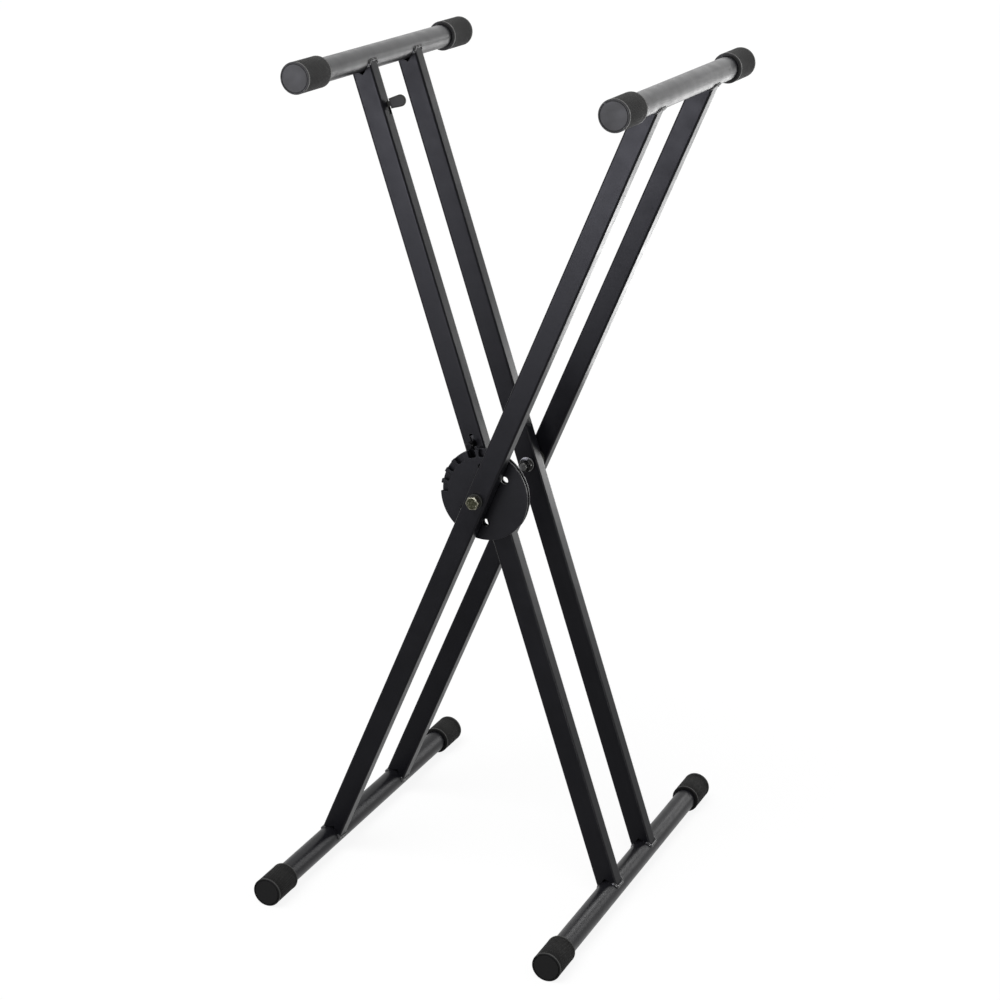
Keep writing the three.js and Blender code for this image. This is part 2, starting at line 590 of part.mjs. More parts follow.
// Inner frame: leans to -X at the top.
addBar(
  stand, 'inner_support_arm', INNER_ARM_LENGTH, INNER_ARM_SHIFT,
  ARM_CAP_LENGTH, -halfOpening, LEG_ABOVE_PIVOT,
);
addBar(stand, 'inner_foot_bar', FOOT_LENGTH, 0, FOOT_CAP_LENGTH, -halfOpening, -LEG_BELOW_PIVOT);
const inner = new THREE.Group();
inner.rotation.y = -halfOpening;
stand.add(inner);
add(inner, 'inner_leg_near', legTube(innerNearY, latchLegCuts()), paint);
add(inner, 'inner_leg_far', legTube(innerFarY), paint);
add(inner, 'guide_plate', guidePlate(), paint);
addRivets(inner, 'guide_plate', guidePlateY, INNER_RING_THICKNESS, 1, innerRivetReach);
add(inner, 'guide_plate_ring', boltRing(RING_RADIUS, innerRingY, INNER_RING_THICKNESS), steel);
add(inner, 'lower_rod_bush', guideBush(lowerBushReach), nylon);
add(inner, 'upper_rod_bush', guideBush(upperBushReach), nylon);
add(inner, 'return_spring', returnSpring(), steel);

// Latch, shown pulled: the pin hangs just clear of the plates' rim.
add(inner, 'latch_pin', latchPin(), steel);
add(inner, 'pin_carrier', pinCarrier(), steel);
add(inner, 'pull_rod', pullRod(), steel);
add(inner, 'spring_collar', springCollar(), steel);
add(inner, 'release_trigger', releaseTrigger(), nylon);

export default stand;
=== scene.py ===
# Looks of a folding X keyboard stand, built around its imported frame. The frame is in metres, +Z up.
# Shapes are written in millimetres, in the frame of the leg that carries them, and scaled when made.
import json
import math

import bmesh
import bpy
from mathutils import Matrix, Vector, noise


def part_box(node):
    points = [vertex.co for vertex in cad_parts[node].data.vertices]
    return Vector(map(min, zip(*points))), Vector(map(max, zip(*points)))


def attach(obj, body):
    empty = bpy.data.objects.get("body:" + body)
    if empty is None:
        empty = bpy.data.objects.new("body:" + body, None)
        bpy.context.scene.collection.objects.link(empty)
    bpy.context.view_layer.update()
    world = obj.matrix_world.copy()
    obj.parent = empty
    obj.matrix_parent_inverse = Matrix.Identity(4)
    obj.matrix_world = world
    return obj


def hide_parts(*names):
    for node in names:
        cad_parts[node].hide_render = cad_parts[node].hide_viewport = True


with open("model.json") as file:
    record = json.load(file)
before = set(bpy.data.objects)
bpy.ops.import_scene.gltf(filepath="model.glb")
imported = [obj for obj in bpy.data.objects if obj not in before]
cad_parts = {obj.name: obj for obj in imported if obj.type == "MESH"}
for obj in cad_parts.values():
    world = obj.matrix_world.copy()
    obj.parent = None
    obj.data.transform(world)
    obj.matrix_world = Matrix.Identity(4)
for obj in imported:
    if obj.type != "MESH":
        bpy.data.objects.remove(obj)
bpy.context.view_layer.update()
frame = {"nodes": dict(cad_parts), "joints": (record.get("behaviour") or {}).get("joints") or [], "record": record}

MM = 0.001
TURN = 2 * math.pi

# ---------------------------- places taken from the frame

JOINTS = {joint["name"]: joint for joint in frame["joints"]}
PIVOT = Vector(JOINTS["fold"]["pos_m"])
INNER_UP = Vector(JOINTS["latch_slide"]["axis"])
LEAN = math.atan2(-INNER_UP.x, INNER_UP.z)  # half the angle between the two frames
OUTER = Matrix.Translation(PIVOT) @ Matrix.Rotation(LEAN, 4, "Y")
INNER = Matrix.Translation(PIVOT) @ Matrix.Rotation(-LEAN, 4, "Y")
PLACES = {"outer_frame": OUTER, "inner_frame": INNER, "latch": INNER}


def extents(node, place, beyond=-math.inf):
    """Lowest and highest corner of a node, or of what lies beyond an x, in a place's own millimetres."""
    back = place.inverted()
    points = [(back @ vertex.co) / MM for vertex in frame["nodes"][node].data.vertices]
    points = [point for point in points if point.x > beyond]
    low = Vector(tuple(min(point[i] for point in points) for i in range(3)))
    high = Vector(tuple(max(point[i] for point in points) for i in range(3)))
    return low, high


def middle(node):
    """The middle of a node's box, in metres."""
    low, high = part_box(node)
    return (low + high) / 2


LEG_LOW, LEG_HIGH = extents("outer_leg_near", OUTER)
LEG_WIDTH = LEG_HIGH.x - LEG_LOW.x
LEG_DEPTH = LEG_HIGH.y - LEG_LOW.y
ARM_REACH = (middle("outer_support_arm") - PIVOT).xz.length / MM
FOOT_REACH = (middle("outer_foot_bar") - PIVOT).xz.length / MM
CAP_RADIUS = middle("outer_foot_bar").z / MM  # the foot caps stand on the floor

# ---------------------------- sizes, in millimetres

LEG_WALL = 1.5
LEG_CORNER = 2.4
BAR_RADIUS = 13.35
BAR_WALL = 1.6
SEAT_GAP = 0.3

CORNER_STEPS = 7
FACE_STEPS = 16  # across a leg's wide face
SIDE_STEPS = 8  # across its narrow face
LEG_RING_STEP = 10
COPE_DIP = 3.4  # how far the end's V goes under the bar at its middle
COPE_HALF_WIDTH = 5.2  # from the leg's middle to where the V meets the bar

WELD_RADIUS = 2.1
WELD_PITCH = 1.9  # between ripples
WELD_ON_FACE = 4.6  # how far a weld runs on around the corner
WELD_STEP = 0.3

CAP_END_WALL = 4.5
CAP_BORE = BAR_RADIUS + SEAT_GAP
KNURLS = 42  # diamonds around a cap
KNURL_PITCH = 2.6  # along it
KNURL_DEPTH = 0.55
KNURL_MARGIN = 2.0  # smooth band at each end
KNURL_SAMPLES = 4  # grid points for each diamond
END_GROOVE = 15.2  # radius of the groove in a cap's end
GROOVE_HALF_WIDTH = 0.5

PLATE_RADIUS = 54.0
PLATE_EDGE = 0.35  # bevel of a stamped edge
HOLE_RADIUS = 4.5
HOLE_CIRCLE = 33.0
HOLE_TURN = math.radians(27.6)
OUTER_RIVET_REACH = 33.0
INNER_RIVET_REACH = 22.0
RIVET_SHANK = 2.4
RIVET_SHOULDER = 4.0
RIVET_HEAD = 3.6
RIVET_HEAD_HEIGHT = 0.8
BOLT_RADIUS = 4.7
BOLT_HOLE = 5.1
BOLT_FLATS = 14.3
BOLT_HEAD = 7.2  # thickness, with the washer face
WASHER_FACE = 0.5
HEX_FACE = BOLT_FLATS / 2 * 0.93  # radius of a hexagon's flat end
HEX_SLOPE = 0.55  # fall of its chamfer for each millimetre outward
NUT_HEXAGON = 5.6  # thickness, without the collar
THREAD_PITCH = 1.25
THREAD_DEPTH = 0.55

STEM_RADIUS = 2.0  # of the latch pin, where it runs through the leg
STEM_SLOT = 2.3  # half the width of what it runs in
STEM_SLOT_REACH = 11.5  # from the stem's middle to the slot's top
ROD_HOLE = 3.3  # radius of the trigger's bore for the pull rod
NECK_LENGTH = 3.0  # from the leg to the trigger's round tab
NECK_HALF_HEIGHT = 3.0
SPRING_WIRE = 0.6  # radius
SPRING_TURNS = 9
SPRING_STEPS = 40  # rings of points in each turn
TUBE_SIDES = 14  # points around a weld or a wire

FILLET_STEP = math.radians(15)
SHARP_ANGLE = math.radians(38)

# ---------------------------- outlines and shells


def filleted(corners, closed=False):
    """A line through (x, y, radius) corners, each rounded to its radius."""
    points = []
    count = len(corners)
    for i, (x, y, radius) in enumerate(corners):
        if radius == 0 or (not closed and i in (0, count - 1)):
            points.append((x, y))
            continue
        here = Vector((x, y))
        back = (Vector(corners[i - 1][:2]) - here).normalized()
        on = (Vector(corners[(i + 1) % count][:2]) - here).normalized()
        half = back.angle(on) / 2
        centre = here + (back + on).normalized() * radius / math.sin(half)
        first = here + back * radius / math.tan(half) - centre
        last = here + on * radius / math.tan(half) - centre
        turn = math.atan2(first.x * last.y - first.y * last.x, first.dot(last))
        steps = max(2, math.ceil(abs(turn) / FILLET_STEP))
        for step in range(steps + 1):
            point = Matrix.Rotation(turn * step / steps, 2) @ first + centre
            points.append((point.x, point.y))
    return points


def wrapped(rings, sides, closed=False):
    """A shell around the Y axis. Each ring gives (radius, y) for an angle; a zero radius is a pole."""
    vertices, faces, loops = [], [], []
    for ring in rings:
        if ring(0)[0] == 0:
            loops.append([len(vertices)] * sides)
            vertices.append((0, ring(0)[1], 0))
            continue
        loops.append(list(range(len(vertices), len(vertices) + sides)))
        for i in range(sides):
            angle = TURN * i / sides
            radius, y = ring(angle)
            vertices.append((radius * math.cos(angle), y, radius * math.sin(angle)))
    pairs = list(zip(loops, loops[1:])) + ([(loops[-1], loops[0])] if closed else [])
    for first, second in pairs:
        for i in range(sides):
            j = (i + 1) % sides
            face = list(dict.fromkeys((first[i], first[j], second[j], second[i])))
            if len(face) == 4:
                faces += along_valley(vertices, face)
            elif len(face) == 3:
                faces.append(face)
    return vertices, faces


def along_valley(vertices, face):
    """Splits a face that isn't flat along its deeper diagonal, so that a groove stays a clean line."""
    a, b, c, d = (math.hypot(vertices[index][0], vertices[index][2]) for index in face)
    if abs(a + c - b - d) < 0.02:
        return [face]
    if a + c < b + d:
        return [face[:3], [face[0], face[2], face[3]]]
    return [[face[0], face[1], face[3]], face[1:]]


def round_rings(points):
    """Rings for wrapped, from (radius, y) points."""
    return [lambda angle, point=point: point for point in points]


def turned(profile, sides=96, closed=False):
    """A shell turned about the Y axis from (radius, y) points."""
    return wrapped(round_rings(profile), sides, closed)


def cylinder(radius, low, high):
    return turned([(0, low), (radius, low), (radius, high), (0, high)], 48)


def tube_faces(rings, sides):
    """The faces of a tube with closed ends, whose points are listed ring by ring."""
    faces = []
    for i in range(rings - 1):
        for k in range(sides):
            j = (k + 1) % sides
            faces.append((i * sides + k, i * sides + j, (i + 1) * sides + j, (i + 1) * sides + k))
    return faces + [tuple(range(sides)), tuple((rings - 1) * sides + k for k in range(sides))]


def shifted(shell, x=0, y=0, z=0):
    vertices, faces = shell
    return [(vx + x, vy + y, vz + z) for vx, vy, vz in vertices], faces


def along_z(shell):
    """A shell made around Y, laid along Z."""
    vertices, faces = shell
    return [(x, z, y) for x, y, z in vertices], faces


def joined(*shells):
    vertices, faces = [], []
    for more_vertices, more_faces in shells:
        base = len(vertices)
        vertices += more_vertices
        faces += [[index + base for index in face] for face in more_faces]
    return vertices, faces


def box_shell(low, high):
    corners = [(x, y, z) for x in (low[0], high[0]) for y in (low[1], high[1]) for z in (low[2], high[2])]
    return corners, [(0, 1, 3, 2), (4, 6, 7, 5), (0, 4, 5, 1), (2, 3, 7, 6), (0, 2, 6, 4), (1, 5, 7, 3)]


def ring_shell(outer, bore, low, high, edge=0.35, sides=72):
    corners = [(bore, low, edge), (outer, low, edge), (outer, high, edge), (bore, high, edge)]
    return turned(filleted(corners, closed=True), sides, closed=True)


def rod_shell(radius, low, high, edge=0.4, sides=64):
    corners = [(0, low, 0), (radius, low, edge), (radius, high, edge), (0, high, 0)]
    return turned(filleted(corners), sides)


# ---------------------------- making pieces


def tidy(mesh):
    """Merges seams, turns faces outward and marks sharp edges."""
    working = bmesh.new()
    working.from_mesh(mesh)
    bmesh.ops.remove_doubles(working, verts=working.verts, dist=1e-6)
    bmesh.ops.dissolve_degenerate(working, edges=working.edges, dist=1e-7)
    bmesh.ops.recalc_face_normals(working, faces=working.faces)
    for face in working.faces:
        face.smooth = True
    for edge in working.edges:
        edge.smooth = not edge.is_manifold or edge.calc_face_angle(0) < SHARP_ANGLE
    working.to_mesh(mesh)
    working.free()


def linked(name, data):
    """A new object in the scene."""
    made = bpy.data.objects.new(name, data)
    bpy.context.scene.collection.objects.link(made)
    return made


def new_object(name, shell):
    vertices, faces = shell
    mesh = bpy.data.meshes.new(name)
    mesh.from_pydata([Vector(vertex) * MM for vertex in vertices], [], faces)
    tidy(mesh)
    return linked(name, mesh)


def evaluated_mesh(made):
    graph = bpy.context.evaluated_depsgraph_get()
    return bpy.data.meshes.new_from_object(made.evaluated_get(graph))


def combine(made, shell, operation):
    """Cuts a shell from an object, or joins it on, and keeps the result."""
    tool = new_object("tool", shell)
    modifier = made.modifiers.new("combine", "BOOLEAN")
    modifier.operation = operation
    modifier.solver = "EXACT"
    modifier.object = tool
    mesh = evaluated_mesh(made)
    made.modifiers.clear()
    made.data = mesh
    tidy(mesh)
    bpy.data.objects.remove(tool)
    return made


def bevelled(shell, width, segments=3):
    """A shell with all its sharp edges rounded."""
    vertices, faces = shell
    mesh = bpy.data.meshes.new("bevelled")
    mesh.from_pydata(vertices, [], faces)
    working = bmesh.new()
    working.from_mesh(mesh)
    bmesh.ops.recalc_face_normals(working, faces=working.faces)
    sharp = [edge for edge in working.edges if edge.calc_face_angle(0) > SHARP_ANGLE]
    bmesh.ops.bevel(working, geom=sharp, offset=width, segments=segments, profile=0.5, affect="EDGES")
    result = [tuple(v.co) for v in working.verts], [[v.index for v in f.verts] for f in working.faces]
    working.free()
    return result


def place_piece(made, body, finish, nodes=(), place=None):
    """Puts an object in its leg's frame, on its body, with its finish."""
    made.matrix_world = place or PLACES[body]
    made.data.materials.clear()
    made.data.materials.append(FINISHES[finish])
    flats = made.modifiers.new("flat faces", "WEIGHTED_NORMAL")
    flats.keep_sharp = True
    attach(made, body)
    if nodes:
        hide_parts(*nodes)
    return made


def body_of(node):
    return next(body for body, nodes in frame["record"]["behaviour"]["bodies"].items() if node in nodes)


def stand_in(node, finish, shell, place=None):
    """A detailed piece in the place of one node."""
    return place_piece(new_object(f"{node}_finished", shell), body_of(node), finish, [node], place)


# ---------------------------- materials


def new_tree(name):
    material = bpy.data.materials.new(name)
    material.use_nodes = True
    material.node_tree.nodes.clear()
    return material, material.node_tree


def put(tree, kind, inputs=None, **settings):
    """A node with its settings and inputs. An input is a value or another node's output."""
    node = tree.nodes.new(kind)
    for name, value in settings.items():
        setattr(node, name, value)
    for name, value in (inputs or {}).items():
        if isinstance(value, bpy.types.NodeSocket):
            tree.links.new(value, node.inputs[name])
        else:
            node.inputs[name].default_value = value
    return node


def coordinates(tree):
    return put(tree, "ShaderNodeTexCoord").outputs["Object"]


def speckle(tree, coords, scale, detail=3.0, stretch=(1, 1, 1)):
    """Noise from 0 to 1. scale is in features per metre."""
    mapping = put(tree, "ShaderNodeMapping", {"Vector": coords, "Scale": stretch})
    inputs = {"Vector": mapping.outputs["Vector"], "Scale": scale, "Detail": detail}
    return put(tree, "ShaderNodeTexNoise", inputs).outputs["Fac"]


def remap(tree, value, low, high, to_low, to_high):
    inputs = {"Value": value, "From Min": low, "From Max": high, "To Min": to_low, "To Max": to_high}
    return put(tree, "ShaderNodeMapRange", inputs, clamp=True).outputs["Result"]


def maths(tree, operation, first, second):
    return put(tree, "ShaderNodeMath", {0: first, 1: second}, operation=operation).outputs["Value"]


def blend_colour(tree, factor, first, second):
    node = put(tree, "ShaderNodeMix", data_type="RGBA")
    for index, value in ((0, factor), (6, first), (7, second)):
        if isinstance(value, bpy.types.NodeSocket):
            tree.links.new(value, node.inputs[index])
        else:
            node.inputs[index].default_value = value if index == 0 else (*value, 1)
    return node.outputs[2]


def upward(tree, low, high):
    """1 on faces that look up, 0 on the rest."""
    normal = put(tree, "ShaderNodeNewGeometry").outputs["Normal"]
    parts = put(tree, "ShaderNodeSeparateXYZ", {"Vector": normal})
    return remap(tree, parts.outputs["Z"], low, high, 0, 1)


def edges(tree, low, high):
    """Rises from 0 to 1 with how sharply the surface turns outward."""
    pointiness = put(tree, "ShaderNodeNewGeometry").outputs["Pointiness"]
    return remap(tree, pointiness, low, high, 0, 1)


def bump(tree, height, distance, strength=1.0, normal=None):
    inputs = {"Height": height, "Distance": distance, "Strength": strength}
    if normal is not None:
        inputs["Normal"] = normal
    return put(tree, "ShaderNodeBump", inputs).outputs["Normal"]


def bar_distance(tree, coords):
    """How far a point lies from the Y axis of its object."""
    flat = put(tree, "ShaderNodeVectorMath", {0: coords, 1: (1, 0, 1)}, operation="MULTIPLY")
    length = put(tree, "ShaderNodeVectorMath", {0: flat.outputs["Vector"]}, operation="LENGTH")
    return length.outputs["Value"]


def close(tree, colour, roughness, normal, **constants):
    """The surface shader and the output, with constants set on the shader's own sockets."""
    shader = put(tree, "ShaderNodeBsdfPrincipled", {
        "Base Color": colour, "Roughness": roughness, "Normal": normal,
    })
    for name, value in constants.items():
        shader.inputs[name.replace("_", " ")].default_value = value
    put(tree, "ShaderNodeOutputMaterial", {"Surface": shader.outputs["BSDF"]})


def paint(name, shine, gloss_low, gloss_high, rim=None):
    """Black powder coat: orange peel, uneven gloss, dust, and rubbed edges or a rubbed rim."""
    material, tree = new_tree(name)
    coords = coordinates(tree)
    cloudy = speckle(tree, coords, 22, 4)
    rubbed = speckle(tree, coords, 300, 5)
    dusty = speckle(tree, coords, 900, 3)
    colour = blend_colour(tree, remap(tree, cloudy, 0.3, 0.7, 0, 1), PAINT_DARK, PAINT_LIGHT)
    dust = maths(tree, "MULTIPLY", upward(tree, 0.35, 0.95), remap(tree, dusty, 0.6, 0.8, 0, 0.3))
    colour = blend_colour(tree, dust, colour, PAINT_DUST)
    if rim is None:
        sharp = edges(tree, 0.53, 0.60)
    else:
        sharp = remap(tree, bar_distance(tree, coords), (rim - 0.7) * MM, (rim - 0.1) * MM, 0, 1)
    worn = maths(tree, "MULTIPLY", sharp, remap(tree, rubbed, 0.45, 0.75, 0, 0.6))
    colour = blend_colour(tree, worn, colour, PAINT_WORN)
    gloss = remap(tree, speckle(tree, coords, 60, 4), 0.3, 0.7, gloss_low, gloss_high)
    gloss = maths(tree, "ADD", gloss, remap(tree, dusty, 0.55, 0.8, 0, 0.05))
    gloss = maths(tree, "SUBTRACT", gloss, maths(tree, "MULTIPLY", worn, 0.12))
    peel = bump(tree, speckle(tree, coords, 1100, 2), 0.0001, 0.35)
    wavy = bump(tree, speckle(tree, coords, 140, 1), 0.0003, 0.15, peel)
    close(tree, colour, gloss, wavy, Specular_IOR_Level=shine)
    return material


def cap_rubber(name, shine, dark, light, rubbed):
    """Moulded rubber: fine grain, painted shade in its grooves, and knurl tops and rims paler as wear and painted
    highlight.
    """
    material, tree = new_tree(name)
    coords = coordinates(tree)
    cloudy = speckle(tree, coords, 60, 4)
    grain = speckle(tree, coords, 2600, 3)
    colour = blend_colour(tree, cloudy, dark, light)
    distance = bar_distance(tree, coords)
    levels = [(CAP_RADIUS - share * KNURL_DEPTH) * MM for share in (1, 0.5, 0.4, 0.1)]
    bottom, half_way, shallow, top = levels
    # Painted shade: the knurl's grooves darken to near black.
    groove = remap(tree, distance, bottom, shallow, 1, 0)
    on_side = remap(tree, distance, bottom - 0.2 * MM, bottom - 0.1 * MM, 0, 1)
    colour = blend_colour(tree, maths(tree, "MULTIPLY", groove, on_side), colour, GROOVE_PAINTED_SHADE)
    # Painted shade: the groove in the cap's end is near black.
    inputs = {0: distance, 1: END_GROOVE * MM, 2: GROOVE_HALF_WIDTH * MM}
    end_groove_shade = put(tree, "ShaderNodeMath", inputs, operation="COMPARE").outputs["Value"]
    colour = blend_colour(tree, end_groove_shade, colour, GROOVE_PAINTED_SHADE)
    # Knurl tops and rims paler: partly rubbed wear, partly a painted highlight.
    high = remap(tree, distance, half_way, top, 0, 1)
    in_band = remap(tree, edges(tree, 0.47, 0.53), 0.4, 0.6, 0.25, 1)
    rub = maths(tree, "MAXIMUM", maths(tree, "MULTIPLY", high, in_band), edges(tree, 0.54, 0.60))
    colour = blend_colour(tree, maths(tree, "MULTIPLY", rub, 0.8), colour, rubbed)
    dust = maths(tree, "MULTIPLY", upward(tree, 0.3, 1.0), remap(tree, grain, 0.5, 0.75, 0, 0.3))
    colour = blend_colour(tree, dust, colour, RUBBER_DUST)
    roughness = remap(tree, cloudy, 0.3, 0.7, 0.60, 0.74)
    roughness = maths(tree, "SUBTRACT", roughness, maths(tree, "MULTIPLY", rub, 0.18))
    normal = bump(tree, grain, 0.00008, 0.5)
    close(tree, colour, roughness, normal, Specular_IOR_Level=shine)
    return material


def plated(name, dark, light, scuffed):
    """Passivated zinc: clouds of two tones, fine streaks, dull scuffs and brighter edges."""
    material, tree = new_tree(name)
    coords = coordinates(tree)
    cloudy = speckle(tree, coords, 160, 3)
    streaks = speckle(tree, coords, 500, 4, (1, 6, 1))
    colour = blend_colour(tree, remap(tree, cloudy, 0.3, 0.7, 0, 1), dark, light)
    colour = blend_colour(tree, remap(tree, streaks, 0.55, 0.75, 0, 0.4), colour, scuffed)
    colour = blend_colour(tree, maths(tree, "MULTIPLY", edges(tree, 0.52, 0.60), 0.8), colour, scuffed)
    roughness = remap(tree, streaks, 0.3, 0.7, 0.24, 0.42)
    normal = bump(tree, speckle(tree, coords, 1500, 3), 0.00006, 0.5)
    close(tree, colour, roughness, normal, Metallic=1.0)
    return material


def oiled_steel(name, clean, stained, rubbed):
    """Oiled steel: fine turning marks, dark stains and rubbed edges."""
    material, tree = new_tree(name)
    coords = coordinates(tree)
    stains = speckle(tree, coords, 110, 4)
    marks = speckle(tree, coords, 900, 2, (1, 9, 1))
    colour = blend_colour(tree, remap(tree, stains, 0.35, 0.7, 0, 1), clean, stained)
    colour = blend_colour(tree, edges(tree, 0.53, 0.60), colour, rubbed)
    roughness = remap(tree, marks, 0.3, 0.7, 0.22, 0.38)
    normal = bump(tree, marks, 0.00005, 0.5)
    close(tree, colour, roughness, normal, Metallic=1.0)
    return material


def black_nylon():
    """Black glass-filled nylon: matt, finely grained, greyer where it is handled."""
    material, tree = new_tree("black_nylon")
    coords = coordinates(tree)
    cloudy = speckle(tree, coords, 90, 3)
    grain = speckle(tree, coords, 1900, 3)
    colour = blend_colour(tree, cloudy, (0.022, 0.022, 0.020), (0.036, 0.036, 0.033))
    colour = blend_colour(tree, edges(tree, 0.52, 0.60), colour, (0.075, 0.074, 0.066))
    roughness = remap(tree, grain, 0.3, 0.7, 0.42, 0.60)
    normal = bump(tree, grain, 0.00008, 0.5)
    close(tree, colour, roughness, normal, Specular_IOR_Level=0.11)
    return material


PAINT_DARK = (0.0052, 0.0052, 0.0070)
PAINT_LIGHT = (0.0082, 0.0082, 0.0104)
PAINT_WORN = (0.075, 0.075, 0.080)
PAINT_DUST = (0.11, 0.105, 0.10)
RUBBER_DUST = (0.10, 0.098, 0.092)
# Near black, for the painted shade in the caps' grooves.
GROOVE_PAINTED_SHADE = (0.003, 0.003, 0.003)
FINISHES = {
    "leg_paint": paint("satin_black_paint", 0.08, 0.28, 0.36),
    "plate_paint": paint("satin_black_paint_on_plate", 0.10, 0.30, 0.38, PLATE_RADIUS),
    "arm_paint": paint("smooth_black_paint", 0.50, 0.35, 0.43),
    "foot_paint": paint("glossy_black_paint", 0.16, 0.31, 0.39),
    "weld_paint": paint("black_paint_on_weld", 0.50, 0.07, 0.13),
    # Lit and shaded copies of one rubber: the arm caps paler and shinier as painted light, the foot caps darker as
    # painted shade.
    "arm_rubber": cap_rubber(
        "rubber_paler_as_painted_light", 0.30, (0.022, 0.022, 0.0225), (0.040, 0.0395, 0.039), (0.15, 0.149, 0.146)),
    "foot_rubber": cap_rubber(
        "rubber_darker_as_painted_shade", 0.07, (0.008, 0.008, 0.008), (0.014, 0.014, 0.0138), (0.075, 0.075, 0.073)),
    "bolt_zinc": plated("olive_zinc", (0.012, 0.0125, 0.007), (0.026, 0.0265, 0.016), (0.36, 0.35, 0.27)),
    "nut_zinc": plated("black_zinc", (0.008, 0.008, 0.009), (0.014, 0.014, 0.014), (0.13, 0.13, 0.125)),
    "bright_steel": oiled_steel("oiled_steel", (0.27, 0.272, 0.28), (0.12, 0.118, 0.115), (0.55, 0.55, 0.55)),
    # Near-black steel: painted shade on the rod, collar, spring and carrier inside the leg; the latch pin is near
    # black too.
    "shade_dark_steel": oiled_steel(
        "near_black_steel_and_painted_shade", (0.007, 0.007, 0.0075), (0.004, 0.004, 0.004), (0.03, 0.03, 0.03)),
    "black_nylon": black_nylon(),
}

# ---------------------------- legs


def leg_outline(width, depth, corner):
    """A rounded rectangle as (x, y) points, with its faces cut into strips."""
    x, y = width / 2 - corner, depth / 2 - corner
    points = []
    for quarter, (cx, cy) in enumerate(((x, y), (-x, y), (-x, -y), (x, -y))):
        for step in range(CORNER_STEPS + 1):
            angle = TURN / 4 * (quarter + step / CORNER_STEPS)
            points.append((cx + corner * math.cos(angle), cy + corner * math.sin(angle)))
        strips = FACE_STEPS if quarter % 2 == 0 else SIDE_STEPS
        run = Vector(((-2 * x, 0), (0, -2 * y), (2 * x, 0), (0, 2 * y))[quarter])
        start = Vector(points[-1])
        points += [tuple(start + run * step / strips) for step in range(1, strips)]
    return points


def cope(x):
    """From a bar's axis to a leg's end: the bar's round, with a V under its middle."""
    bar = math.sqrt((BAR_RADIUS + SEAT_GAP) ** 2 - x * x)
    dip = COPE_DIP * (1 - abs(x) / COPE_HALF_WIDTH)
    return bar + max(0.0, dip)


def leg_rings():
    """Shares of a leg's length at which its outside has a ring of points: close at the ends."""
    length = ARM_REACH + FOOT_REACH
    middle_rings = round(length / LEG_RING_STEP)
    shares = [reach / length for reach in (0, 0.6, 2, 5, 9)]
    shares += [step / middle_rings for step in range(2, middle_rings - 1)]
    return shares + [1 - share for share in reversed(shares[:5])]


def leg_shell(y):
    rings = []
    outside = leg_outline(LEG_WIDTH, LEG_DEPTH, LEG_CORNER)
    inside = leg_outline(LEG_WIDTH - 2 * LEG_WALL, LEG_DEPTH - 2 * LEG_WALL, LEG_CORNER - LEG_WALL)
    for outline, shares in ((outside, leg_rings()), (inside, (1, 0))):
        for share in shares:
            rings.append([
                (px, py + y, (cope(px) - FOOT_REACH) * (1 - share) + (ARM_REACH - cope(px)) * share)
                for px, py in outline
            ])
    count = len(outside)
    faces = []
    for k in range(len(rings)):
        base, following = k * count, (k + 1) % len(rings) * count
        for i in range(count):
            j = (i + 1) % count
            faces.append((base + i, base + j, following + j, following + i))
    return [point for ring in rings for point in ring], faces


def hole_tool(radius, y, length, z=0.0):
    return shifted(cylinder(radius, -length, length), y=y, z=z)


def leg(node, place, extra_tools=()):
    low, high = extents(node, place)
    y = (low.y + high.y) / 2
    made = new_object(f"{node}_finished", leg_shell(y))
    combine(made, joined(hole_tool(BOLT_HOLE, y, LEG_DEPTH), *extra_tools), "DIFFERENCE")
    place_piece(made, body_of(node), "leg_paint", [node])
    for end, reach, sense in (("upper", ARM_REACH, 1), ("lower", FOOT_REACH, -1)):
        beads = [weld_shell(y, reach, sense, side, f"{node} {end} {side}") for side in (-1, 1)]
        welds = new_object(f"{node}_{end}_welds", joined(*beads))
        place_piece(welds, body_of(node), "weld_paint")


def weld_path(y, reach, sense, side):
    """Points along one narrow face of a leg's end, from wide face to wide face."""
    half_width, half_depth = LEG_WIDTH / 2, LEG_DEPTH / 2
    start = half_width - WELD_ON_FACE
    corners = [
        (side * start, -half_depth, 0), (side * half_width, -half_depth, LEG_CORNER),
        (side * half_width, half_depth, LEG_CORNER), (side * start, half_depth, 0),
    ]
    line = [Vector(point) for point in filleted(corners)]
    points = []
    for first, second in zip(line, line[1:]):
        steps = max(1, round((second - first).length / WELD_STEP))
        points += [first.lerp(second, step / steps) for step in range(steps)]
    points.append(line[-1])
    return [Vector((p.x, p.y + y, sense * (reach - math.sqrt(BAR_RADIUS ** 2 - p.x ** 2)))) for p in points]


def weld_shell(y, reach, sense, side, seed):
    """A rippled bead: each ripple swells and drops like a stacked coin."""
    path = weld_path(y, reach, sense, side)
    offset = Vector((sum(map(ord, seed)), 0, 0))
    total = sum((b - a).length for a, b in zip(path, path[1:]))
    vertices = []
    run = 0.0
    for i, point in enumerate(path):
        ahead = path[min(i + 1, len(path) - 1)] - path[max(i - 1, 0)]
        if i:
            run += (point - path[i - 1]).length
        along = ahead.normalized()
        across = along.cross(Vector((0, 0, 1))).normalized()
        upright = across.cross(along)
        ripple = (run / WELD_PITCH) % 1.0
        end = min(1.0, 0.25 + min(run, total - run) / 1.2)
        swell = 1 + 0.16 * math.sqrt(1 - ripple) + 0.14 * noise.noise(point * 0.7 + offset)
        radius = WELD_RADIUS * 0.86 * swell * end
        for k in range(TUBE_SIDES):
            angle = TURN * k / TUBE_SIDES
            spot = point + across * radius * math.cos(angle) + upright * radius * math.sin(angle)
            vertices.append(tuple(spot))
    return vertices, tube_faces(len(path), TUBE_SIDES)


# ---------------------------- bars and caps


def bar_place(node):
    return Matrix.Translation(middle(node))


